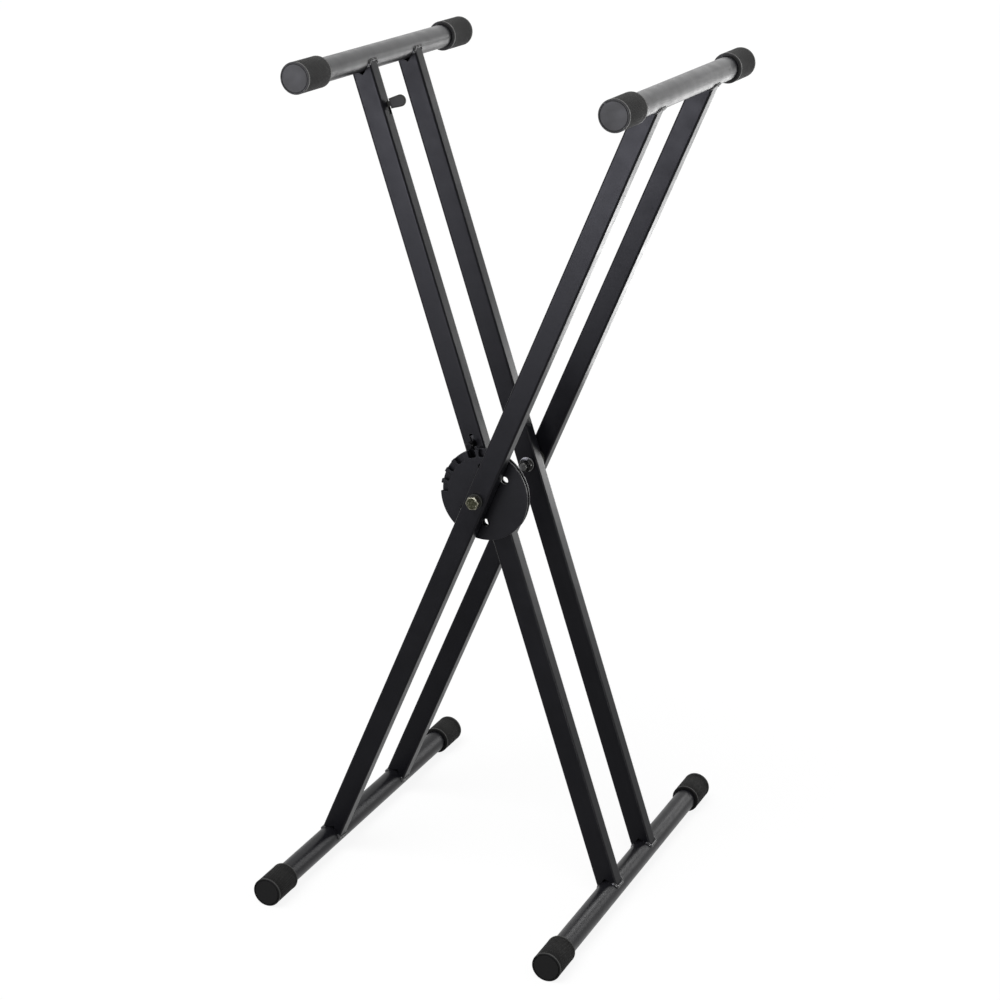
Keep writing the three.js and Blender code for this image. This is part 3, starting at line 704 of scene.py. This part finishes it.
def bar(node, finish):
    place = bar_place(node)
    low, high = extents(node, place)
    bore = BAR_RADIUS - BAR_WALL
    corners = [(bore, low.y, 0.3), (BAR_RADIUS, low.y, 0.5), (BAR_RADIUS, high.y, 0.5), (bore, high.y, 0.3)]
    stand_in(node, finish, turned(filleted(corners, closed=True), 128, closed=True), place)


def knurl(angle, y, low, high):
    """How far a diamond knurl's surface lies under its tops."""
    if not low < y < high:
        return 0.0
    around, along = KNURLS * angle / TURN, (y - low) / KNURL_PITCH
    climb = [abs((around + sign * along) % 1.0 - 0.5) * 2 for sign in (1, -1)]
    fade = min(1.0, (y - low) / KNURL_PITCH * 2, (high - y) / KNURL_PITCH * 2)
    return KNURL_DEPTH * fade * max(0.0, max(climb) * 1.25 - 0.25)


def cap(node, bar_node, finish, sense):
    """A cap with a knurled side, a rounded mouth and a grooved end. sense is -1 at the near end."""
    place = bar_place(bar_node)
    low, high = extents(node, place)
    length = high.y - low.y
    outer = [
        (0, 0.15, 0), (END_GROOVE - 0.6, 0.15, 0.2), (END_GROOVE - 0.3, 0.95, 0.2),
        (END_GROOVE + 0.3, 0.95, 0.2), (END_GROOVE + 0.6, 0.0, 0.3), (CAP_RADIUS, 0.0, 1.1),
    ]
    start = 1.4
    profile = filleted(outer + [(CAP_RADIUS, start, 0)])
    knurled_low, knurled_high = KNURL_MARGIN, length - KNURL_MARGIN
    rows = math.ceil((knurled_high - knurled_low) / KNURL_PITCH * KNURL_SAMPLES)
    for row in range(rows + 1):
        profile.append((CAP_RADIUS, knurled_low + (knurled_high - knurled_low) * row / rows))
    profile += filleted([
        (CAP_RADIUS, length - 2.0, 0), (CAP_RADIUS, length, 1.3), (CAP_BORE, length, 0.5),
        (CAP_BORE, CAP_END_WALL, 0.5), (0, CAP_END_WALL, 0),
    ])
    end = low.y if sense < 0 else high.y

    def ring_of(point):
        radius, y = point
        on_side = abs(radius - CAP_RADIUS) < 1e-6
        return lambda angle: (
            radius - (knurl(angle, y, knurled_low, knurled_high) if on_side else 0.0),
            end - sense * y,
        )

    stand_in(node, finish, wrapped([ring_of(p) for p in profile], KNURLS * KNURL_SAMPLES), place)


# ---------------------------- lock plates


def slot_turns(node, place):
    """The turn and width of each slot in a plate's rim, from the corners of its floor."""
    back = place.inverted()
    corners = {}
    for vertex in frame["nodes"][node].data.vertices:
        point = (back @ vertex.co) / MM
        radius = math.hypot(point.x, point.z)
        if HOLE_CIRCLE + HOLE_RADIUS + 1 < radius < PLATE_RADIUS - 1:
            corners[round(math.atan2(-point.x, point.z), 3)] = radius
    turns = sorted(corners)
    slots = []
    for first, second in zip(turns[::2], turns[1::2]):
        half = (second - first) / 2
        slots.append(((first + second) / 2, corners[first] * math.cos(half), corners[first] * math.sin(half)))
    return slots


def plate_outline(slots):
    """The rim with its slots, as (x, z) points. A turn runs from +Z towards -X."""
    points = []
    for i, (turn, floor, half) in enumerate(slots):
        rim = math.sqrt(PLATE_RADIUS ** 2 - half ** 2)
        corners = [(-half - 2, rim, 0), (-half, rim, 0.9), (-half, floor, 1.7), (half, floor, 1.7),
                   (half, rim, 0.9), (half + 2, rim, 0)]
        shape = filleted(corners)[1:-1]
        points += [spin(x, z, turn) for x, z in reversed(shape)]
        following = slots[(i + 1) % len(slots)]
        edge = math.asin((half + 1.2) / PLATE_RADIUS)
        first, last = turn + edge, following[0] - edge + (TURN if following[0] <= turn else 0)
        steps = max(2, math.ceil((last - first) / math.radians(2.5)))
        points += [spin(0, PLATE_RADIUS, first + (last - first) * k / steps) for k in range(steps + 1)]
    return points


def spin(x, z, turn):
    """A point given beside and out along a turned radius."""
    return x * math.cos(turn) - z * math.sin(turn), x * math.sin(turn) + z * math.cos(turn)


def circle(radius, centre=(0, 0), count=48):
    return [(centre[0] + radius * math.cos(TURN * k / count), centre[1] + radius * math.sin(TURN * k / count))
            for k in range(count)]


def stamped(name, loops, low, high, edge):
    """A flat piece cut from sheet: outlines in (x, z), between two y, with bevelled edges."""
    curve = bpy.data.curves.new(name, "CURVE")
    curve.dimensions = "2D"
    curve.fill_mode = "BOTH"
    curve.extrude = ((high - low) / 2 - edge) * MM
    curve.bevel_depth = edge * MM
    curve.offset = -edge * MM
    curve.bevel_resolution = 2
    for loop in loops:
        spline = curve.splines.new("POLY")
        spline.points.add(len(loop) - 1)
        for point, (x, z) in zip(spline.points, loop):
            point.co = (x * MM, z * MM, 0, 1)
        spline.use_cyclic_u = True
    flat = linked(name, curve)
    mesh = evaluated_mesh(flat)
    bpy.data.objects.remove(flat)
    ring_flat_faces(mesh, 0.8 * edge * MM)
    mesh.transform(Matrix.Translation((0, (low + high) / 2 * MM, 0)) @ Matrix.Rotation(TURN / 4, 4, "X"))
    tidy(mesh)
    return linked(name, mesh)


def ring_flat_faces(mesh, width):
    """Two narrow rings inside a flat face's outline and even triangles within, so that it shades cleanly."""
    working = bmesh.new()
    working.from_mesh(mesh)
    bmesh.ops.remove_doubles(working, verts=working.verts, dist=1e-6)
    for _ in range(2):
        flat = [face for face in working.faces if abs(face.normal.z) > 0.999 and not face.tag]
        rings = bmesh.ops.inset_region(
            working, faces=flat, thickness=width, use_even_offset=True, use_boundary=True)
        for face in rings["faces"]:
            face.tag = True
    inner = [face for face in working.faces if abs(face.normal.z) > 0.999 and not face.tag]
    inner_edges = [edge for edge in working.edges if all(face in inner for face in edge.link_faces)]
    bmesh.ops.beautify_fill(working, faces=inner, edges=inner_edges, method="ANGLE")
    working.to_mesh(mesh)
    working.free()


def lock_plate(node, place, hole_turn, rivet_reach):
    low, high = extents(node, place)
    holes = [circle(BOLT_HOLE)]
    for turn in (HOLE_TURN, -HOLE_TURN, TURN / 2 + HOLE_TURN, TURN / 2 - HOLE_TURN):
        holes.append(circle(HOLE_RADIUS, spin(0, HOLE_CIRCLE, turn + hole_turn)))
    for reach in (rivet_reach, -rivet_reach):
        holes.append(circle(RIVET_SHANK + SEAT_GAP, (0, reach), 32))
    loops = [plate_outline(slot_turns(node, place)), *holes]
    made = stamped(f"{node}_finished", loops, low.y, high.y, PLATE_EDGE)
    place_piece(made, body_of(node), "plate_paint", [node])


def rivet(node, place, reach, sense):
    """A domed, shouldered rivet. sense is +1 where its tail points to +Y."""
    low, high = extents(node, place)
    start, end = (low.y, high.y) if sense > 0 else (high.y, low.y)
    plate, ring = 2.6, 3.4
    shoulder = RIVET_HEAD_HEIGHT + SEAT_GAP + plate + SEAT_GAP
    corners = [
        (0, 0, 0), (2.4, 0, 1.2), (RIVET_HEAD, 0.5, 0.25), (RIVET_HEAD, RIVET_HEAD_HEIGHT, 0.1),
        (RIVET_SHANK, RIVET_HEAD_HEIGHT, 0.1), (RIVET_SHANK, shoulder, 0.1), (RIVET_SHOULDER, shoulder, 0.3),
        (RIVET_SHOULDER, shoulder + ring, 0.3), (RIVET_SHANK, shoulder + ring, 0.1),
        (RIVET_SHANK, abs(end - start), 0.8), (0, abs(end - start), 0),
    ]
    profile = [(radius, start + sense * run) for radius, run in filleted(corners)]
    stand_in(node, "bright_steel", shifted(turned(profile, 48), z=reach))


# ---------------------------- bolts, nuts and rings


def hexagon(angle):
    """Out to a hexagon whose flats face +X and -X, with its corners just broken."""
    off = (angle + TURN / 12) % (TURN / 6) - TURN / 12
    return min(BOLT_FLATS / 2 / math.cos(off), BOLT_FLATS / math.sqrt(3) - 0.12)


def hex_rings(top, base, sense):
    """The chamfered side of a hexagon from its top face to its base, sense pointing down."""
    def chamfer(angle):
        radius = hexagon(angle)
        return radius, top + sense * HEX_SLOPE * (radius - HEX_FACE + 0.15)
    return [
        lambda angle: (HEX_FACE - 0.35, top),
        lambda angle: (HEX_FACE, top + sense * 0.1),
        chamfer,
        lambda angle: (hexagon(angle), base - sense * 0.25),
        lambda angle: (hexagon(angle) - 0.2, base),
    ]


def thread(low, high, sense):
    """A profile of thread grooves between two places along a bolt."""
    turns = int(abs(high - low) / THREAD_PITCH)
    points = []
    for k in range(turns):
        at = low + sense * THREAD_PITCH * k
        points += [(BOLT_RADIUS, at), (BOLT_RADIUS, at + sense * 0.3)]
        points += [(BOLT_RADIUS - THREAD_DEPTH, at + sense * run) for run in (0.62, 0.75)]
    return points


def bolt(node, nut_node, finish, sense):
    """A hex bolt with a washer face and a threaded end. sense is +1 where the shank runs to +Y."""
    low, high = extents(node, OUTER)
    top, tip = (low.y, high.y) if sense > 0 else (high.y, low.y)
    bearing = top + sense * BOLT_HEAD
    under = bearing - sense * WASHER_FACE
    rings = round_rings([(0, top + sense * 0.12), (HEX_FACE - 1.6, top + sense * 0.08)])
    rings += hex_rings(top, under, sense)
    nut_low, nut_high = extents(nut_node, OUTER)
    thread_start = (nut_low.y if sense > 0 else nut_high.y) - sense * 2
    shank = [(HEX_FACE - 0.2, under), (HEX_FACE - 0.2, bearing), (BOLT_RADIUS, bearing)]
    shank += thread(thread_start, tip - sense * 0.9, sense)
    shank += [(BOLT_RADIUS - 0.1, tip - sense * 0.9), (BOLT_RADIUS - 0.9, tip), (0, tip)]
    stand_in(node, finish, wrapped(rings + round_rings(shank), 96))


def nut(node, sense):
    """A lock nut: a chamfered hexagon with a round collar on its far side. sense points to the collar."""
    low, high = extents(node, OUTER)
    base, top = (low.y, high.y) if sense > 0 else (high.y, low.y)
    collar = BOLT_FLATS / 2 - 0.75
    shoulder = base + sense * NUT_HEXAGON
    bore = BOLT_RADIUS + SEAT_GAP
    rings = round_rings([(bore, base + sense * 0.6), (bore + 0.7, base)])
    rings += hex_rings(base, shoulder, sense)
    rings += round_rings([
        (collar, shoulder + sense * 0.1), (collar, top - sense * 0.9), (collar - 0.3, top - sense * 0.25),
        (collar - 1.0, top), (bore + 0.55, top), (bore, top - sense * 0.35),
    ])
    stand_in(node, "nut_zinc", wrapped(rings, 96, closed=True))


def flat_ring(node, finish):
    """A washer, ring or spacer around a pivot bolt."""
    place = PLACES[body_of(node)]
    low, high = extents(node, place)
    stand_in(node, finish, ring_shell(high.x, BOLT_HOLE, low.y, high.y, 0.4))


# ---------------------------- latch


def latch_leg_tools():
    """The pin's and the trigger's slots, and the guide plate's rivet holes."""
    leg_low, leg_high = extents("inner_leg_near", INNER)
    pin_low, pin_high = extents("latch_pin", INNER)
    pin = (pin_low.z + pin_high.z) / 2
    travel = -JOINTS["latch_slide"]["range_m"][0] / MM
    bottom, top = pin - travel - STEM_SLOT - 0.1, pin + STEM_SLOT_REACH
    stem = rounded_slot_tool(STEM_SLOT, bottom, top, leg_low.y - 1, leg_low.y + LEG_WALL + 1)
    low, high = extents("release_trigger", INNER, leg_high.x)
    tab = (low.z + high.z) / 2
    reach = NECK_HALF_HEIGHT + 0.5
    neck = box_shell(
        (leg_high.x - LEG_WALL - 1, low.y - 0.4, tab - reach - travel),
        (leg_high.x + 1, high.y + 0.4, tab + reach))
    return [stem, bevelled(neck, 1.0), *rivet_holes(leg_low.y, INNER_RIVET_REACH)]


def rivet_holes(y, reach):
    """Tools for a leg's two rivet holes, in the wall at y."""
    return [hole_tool(RIVET_SHANK + SEAT_GAP, y, 2 * LEG_WALL, z) for z in (reach, -reach)]


def rounded_slot_tool(half, low, high, start, end):
    """A round-ended slot along Z, cut through between two y."""
    outline = []
    for middle_z, first in ((high - half, 0.0), (low + half, TURN / 2)):
        for step in range(13):
            angle = first + TURN / 2 * step / 12
            outline.append((half * math.cos(angle), middle_z + half * math.sin(angle)))
    count = len(outline)
    vertices = [(x, start, z) for x, z in outline] + [(x, end, z) for x, z in outline]
    faces = [tuple(range(count)), tuple(range(count, 2 * count))]
    faces += [(i, (i + 1) % count, (i + 1) % count + count, i + count) for i in range(count)]
    return vertices, faces


def latch_pin():
    low, high = extents("latch_pin", INNER)
    centre = (low.z + high.z) / 2
    head = (high.z - low.z) / 2
    leg_low, _ = extents("inner_leg_near", INNER)
    shoulder = leg_low.y - SEAT_GAP
    groove = low.y + 3.2
    corners = [
        (0, low.y, 0), (head, low.y, 1.0), (head, groove, 0.2), (head - 0.5, groove + 0.4, 0.2),
        (head - 0.5, groove + 1.0, 0.2), (head, groove + 1.4, 0.2), (head, shoulder, 0.5),
        (STEM_RADIUS, shoulder, 0.2), (STEM_RADIUS, high.y, 0.4), (0, high.y, 0),
    ]
    stand_in("latch_pin", "shade_dark_steel", shifted(turned(filleted(corners), 64), z=centre))


def trigger():
    """A finger tab with a round, softened end, on a neck and a block inside the leg."""
    low, high = extents("release_trigger", INNER)
    _, leg_high = extents("inner_leg_near", INNER)
    tab_low, tab_high = extents("release_trigger", INNER, leg_high.x)
    tab_middle = (tab_low.z + tab_high.z) / 2
    middle_y = (low.y + high.y) / 2
    round_end = (tab_high.z - tab_low.z) / 2
    centre = tab_high.x - round_end
    root = leg_high.x + NECK_LENGTH
    outline = [(root, tab_middle - round_end + 0.9)]
    for step in range(33):
        angle = -TURN / 4 + TURN / 2 * step / 32
        outline.append((centre + round_end * math.cos(angle), tab_middle + round_end * math.sin(angle)))
    outline.append((root, tab_middle + round_end - 0.9))
    made = stamped("release_trigger_finished", [outline], tab_low.y, tab_high.y, 1.2)
    neck = box_shell(
        (0, tab_low.y + 0.6, tab_middle - NECK_HALF_HEIGHT),
        (root + 1.5, tab_high.y - 0.6, tab_middle + NECK_HALF_HEIGHT))
    block = box_shell((low.x, low.y, low.z), (-low.x, high.y, high.z))
    combine(made, bevelled(neck, 0.6), "UNION")
    combine(made, bevelled(block, 0.8), "UNION")
    _, rod_high = extents("pull_rod", INNER)
    combine(made, rod_bore(ROD_HOLE, low.z - 1, rod_high.z + SEAT_GAP, middle_y), "DIFFERENCE")
    place_piece(made, "latch", "black_nylon", ["release_trigger"])


def bored_block(node, finish, bores, edge):
    """A rounded block in the leg, drilled by the tools given."""
    low, high = extents(node, INNER)
    made = new_object(f"{node}_finished", bevelled(box_shell(low, high), edge))
    for tool in bores:
        combine(made, tool, "DIFFERENCE")
    place_piece(made, body_of(node), finish, [node])


def rod_bore(radius, low, high, y):
    return shifted(along_z(cylinder(radius, low, high)), y=y)


def spring():
    """The return spring, as one round wire, near black as painted shade inside the leg."""
    low, high = extents("return_spring", INNER)
    collar_low, collar_high = extents("spring_collar", INNER)
    y = (collar_low.y + collar_high.y) / 2
    radius = (collar_high.x - collar_low.x) / 2 - 0.5 - SPRING_WIRE
    rise = high.z - low.z - 2 * SPRING_WIRE
    steps = SPRING_TURNS * SPRING_STEPS
    vertices = []
    for i in range(steps + 1):
        angle = TURN * SPRING_TURNS * i / steps
        out = Vector((math.cos(angle), math.sin(angle), 0))
        centre = out * radius + Vector((0, y, low.z + SPRING_WIRE + rise * i / steps))
        for k in range(TUBE_SIDES):
            around = TURN * k / TUBE_SIDES
            lift = Vector((0, 0, SPRING_WIRE * math.sin(around)))
            vertices.append(tuple(centre + out * SPRING_WIRE * math.cos(around) + lift))
    stand_in("return_spring", "shade_dark_steel", (vertices, tube_faces(steps + 1, TUBE_SIDES)))


def inner_latch_pieces():
    """What lies inside the near inner leg, its steel near black as painted shade."""
    rod_low, rod_high = extents("pull_rod", INNER)
    y = (rod_low.y + rod_high.y) / 2
    rod_radius = (rod_high.x - rod_low.x) / 2
    stand_in("pull_rod", "shade_dark_steel", shifted(along_z(rod_shell(rod_radius, rod_low.z, rod_high.z)), y=y))
    low, high = extents("spring_collar", INNER)
    collar = ring_shell(high.x, rod_radius + SEAT_GAP, low.z, high.z, 0.5)
    stand_in("spring_collar", "shade_dark_steel", shifted(along_z(collar), y=y))
    for node in ("lower_rod_bush", "upper_rod_bush"):
        low, high = extents(node, INNER)
        bored_block(node, "black_nylon", [rod_bore(rod_radius + 0.4, low.z - 1, high.z + 1, y)], 0.8)
    low, high = extents("pin_carrier", INNER)
    pin_low, pin_high = extents("latch_pin", INNER)
    stem = cylinder(STEM_SLOT, low.y - 2, pin_high.y + SEAT_GAP)
    stem = shifted(stem, z=(pin_low.z + pin_high.z) / 2)
    bores = [rod_bore(rod_radius + SEAT_GAP, rod_low.z - SEAT_GAP, high.z + 1, y), stem]
    bored_block("pin_carrier", "shade_dark_steel", bores, 0.6)
    spring()


# ---------------------------- assembly

leg("outer_leg_near", OUTER, rivet_holes(LEG_HIGH.y, OUTER_RIVET_REACH))
leg("outer_leg_far", OUTER)
leg("inner_leg_far", INNER)
leg("inner_leg_near", INNER, latch_leg_tools())

for bar_name, kind in (
    ("outer_support_arm", "arm"), ("outer_foot_bar", "foot"),
    ("inner_support_arm", "arm"), ("inner_foot_bar", "foot"),
):
    bar(bar_name, f"{kind}_paint")
    cap(f"{bar_name}_cap_near", bar_name, f"{kind}_rubber", -1)
    cap(f"{bar_name}_cap_far", bar_name, f"{kind}_rubber", 1)

lock_plate("notched_plate", OUTER, 0, OUTER_RIVET_REACH)
lock_plate("guide_plate", INNER, -2 * LEAN, INNER_RIVET_REACH)
for end_name, reach_sign in (("upper", 1), ("lower", -1)):
    rivet(f"notched_plate_rivet_{end_name}", OUTER, reach_sign * OUTER_RIVET_REACH, -1)
    rivet(f"guide_plate_rivet_{end_name}", INNER, reach_sign * INNER_RIVET_REACH, 1)
for ring_name in ("notched_plate_ring", "guide_plate_ring", "near_nut_washer", "far_nut_washer"):
    flat_ring(ring_name, "bright_steel")
for ring_name in ("plate_washer", "near_bolt_washer", "far_bolt_washer", "far_leg_spacer"):
    flat_ring(ring_name, "black_nylon")
bolt("near_pivot_bolt", "near_lock_nut", "bolt_zinc", 1)
bolt("far_pivot_bolt", "far_lock_nut", "nut_zinc", -1)
nut("near_lock_nut", 1)
nut("far_lock_nut", -1)
latch_pin()
trigger()
inner_latch_pieces()

# ---------------------------- studio

CAMERA_PLACE = (0.9928, -2.3747, 1.3881)
CAMERA_TURN = (70.129, -2.4455, 23.803)  # degrees about X, Y and Z
CAMERA_LENS = 84.06


def camera():
    data = bpy.data.cameras.new("camera")
    data.lens = CAMERA_LENS
    data.sensor_width = 36
    made = linked("camera", data)
    made.location = CAMERA_PLACE
    made.rotation_euler = [math.radians(degrees) for degrees in CAMERA_TURN]
    bpy.context.scene.camera = made


def softbox(name, place, aim, width, height, radiance, colour=(1, 1, 1)):
    """A soft rectangular lamp that shows in gloss. The camera doesn't see it, and it adds no plain light."""
    data = bpy.data.lights.new(name, "AREA")
    data.shape = "RECTANGLE"
    data.size, data.size_y = width, height
    data.energy = radiance * math.pi * width * height
    data.color = colour
    made = linked(name, data)
    made.location = place
    made.rotation_euler = (Vector(aim) - Vector(place)).to_track_quat("-Z", "Y").to_euler()
    made.visible_camera = False
    made.visible_diffuse = False


def skylight(strength, spread, tilt, heading):
    """A wide, even lamp from above. Angles are in degrees."""
    data = bpy.data.lights.new("skylight", "SUN")
    data.energy = strength
    data.angle = math.radians(spread)
    made = linked("skylight", data)
    made.rotation_euler = (math.radians(tilt), 0, math.radians(heading))


def seen_white(tree):
    """1 for the rays that show the background, 0 for those that light the object."""
    rays = put(tree, "ShaderNodeLightPath")
    seen = maths(tree, "MAXIMUM", rays.outputs["Is Camera Ray"], rays.outputs["Is Glossy Ray"])
    return maths(tree, "MAXIMUM", seen, rays.outputs["Is Transmission Ray"])


def studio_world(ambient):
    world = bpy.data.worlds.new("studio")
    world.use_nodes = True
    tree = world.node_tree
    tree.nodes.clear()
    strength = remap(tree, seen_white(tree), 0, 1, ambient, 1.0)
    background = put(tree, "ShaderNodeBackground", {"Color": (1, 1, 1, 1), "Strength": strength})
    put(tree, "ShaderNodeOutputWorld", {"Surface": background.outputs["Background"]})
    bpy.context.scene.world = world


def floor(size, keep):
    """A pale floor that shows white. keep is the share of it that the lamps light, and so its shadows."""
    material, tree = new_tree("pale_floor")
    plain = put(tree, "ShaderNodeBsdfDiffuse", {"Color": (keep, keep, keep, 1)})
    glow = 1.0 - keep * FLOOR_LIGHT * FLOOR_MARGIN
    shine = put(tree, "ShaderNodeEmission", {"Color": (1, 1, 1, 1), "Strength": glow})
    both = put(tree, "ShaderNodeAddShader", {0: plain.outputs["BSDF"], 1: shine.outputs["Emission"]})
    unseen = put(tree, "ShaderNodeBsdfDiffuse", {"Color": FLOOR_COLOUR})
    inputs = {"Fac": seen_white(tree), 1: unseen.outputs["BSDF"], 2: both.outputs["Shader"]}
    mix = put(tree, "ShaderNodeMixShader", inputs)
    put(tree, "ShaderNodeOutputMaterial", {"Surface": mix.outputs["Shader"]})
    mesh = bpy.data.meshes.new("floor")
    half = size / 2
    corners = [(-half, -half, 0), (half, -half, 0), (half, half, 0), (-half, half, 0)]
    mesh.from_pydata(corners, [], [(0, 1, 2, 3)])
    mesh.materials.append(material)
    made = linked("floor", mesh)


AMBIENT = 0.35
SKYLIGHT = 1.5  # on a surface that faces it, in watts a square metre
SKYLIGHT_TILT = 28
SKYLIGHT_HEADING = -20
SKYLIGHT_SPREAD = 40
FLOOR_LIGHT = AMBIENT + SKYLIGHT * math.cos(math.radians(SKYLIGHT_TILT)) / math.pi
FLOOR_MARGIN = 0.9  # under 1, so that the open floor is fully white
FLOOR_COLOUR = (0.8, 0.8, 0.8, 1)  # for the light that it throws on the object
FLOOR_SIZE = 60
FLOOR_LIT_SHARE = 0.16
COOL = (0.88, 0.88, 1.0)

camera()
studio_world(AMBIENT)
floor(FLOOR_SIZE, FLOOR_LIT_SHARE)
skylight(SKYLIGHT, SKYLIGHT_SPREAD, SKYLIGHT_TILT, SKYLIGHT_HEADING)
# name, place, aim, width, height, radiance, colour
softbox("front_high", (-0.32, -1.3, 0.76), (0, 0, 0.75), 1.0, 0.40, 19.0, COOL)
softbox("front_low", (-0.45, -1.3, 0.36), (0, 0, 0.50), 1.1, 0.28, 5.5, COOL)
softbox("back_near", (0.17, 0.5, 0.51), (0.17, 0, 0.51), 0.26, 0.22, 4.5)
softbox("back_low", (0.30, 1.3, 0.42), (0, 0, 0.50), 0.36, 0.5, 4.0)
softbox("back_right", (0.86, 1.3, 0.56), (0, 0, 0.50), 0.32, 0.7, 3.6)
softbox("back_upper", (0.34, 1.3, 1.00), (0, 0, 0.80), 0.22, 0.3, 5.0)
softbox("back_top", (-0.2, 1.3, 1.45), (0, 0, 0.96), 1.4, 0.6, 0.9)
softbox("right_low", (1.5, -0.85, 0.36), (0, 0, 0.3), 0.35, 0.35, 30.0)
bpy.context.scene.view_settings.view_transform = "Standard"
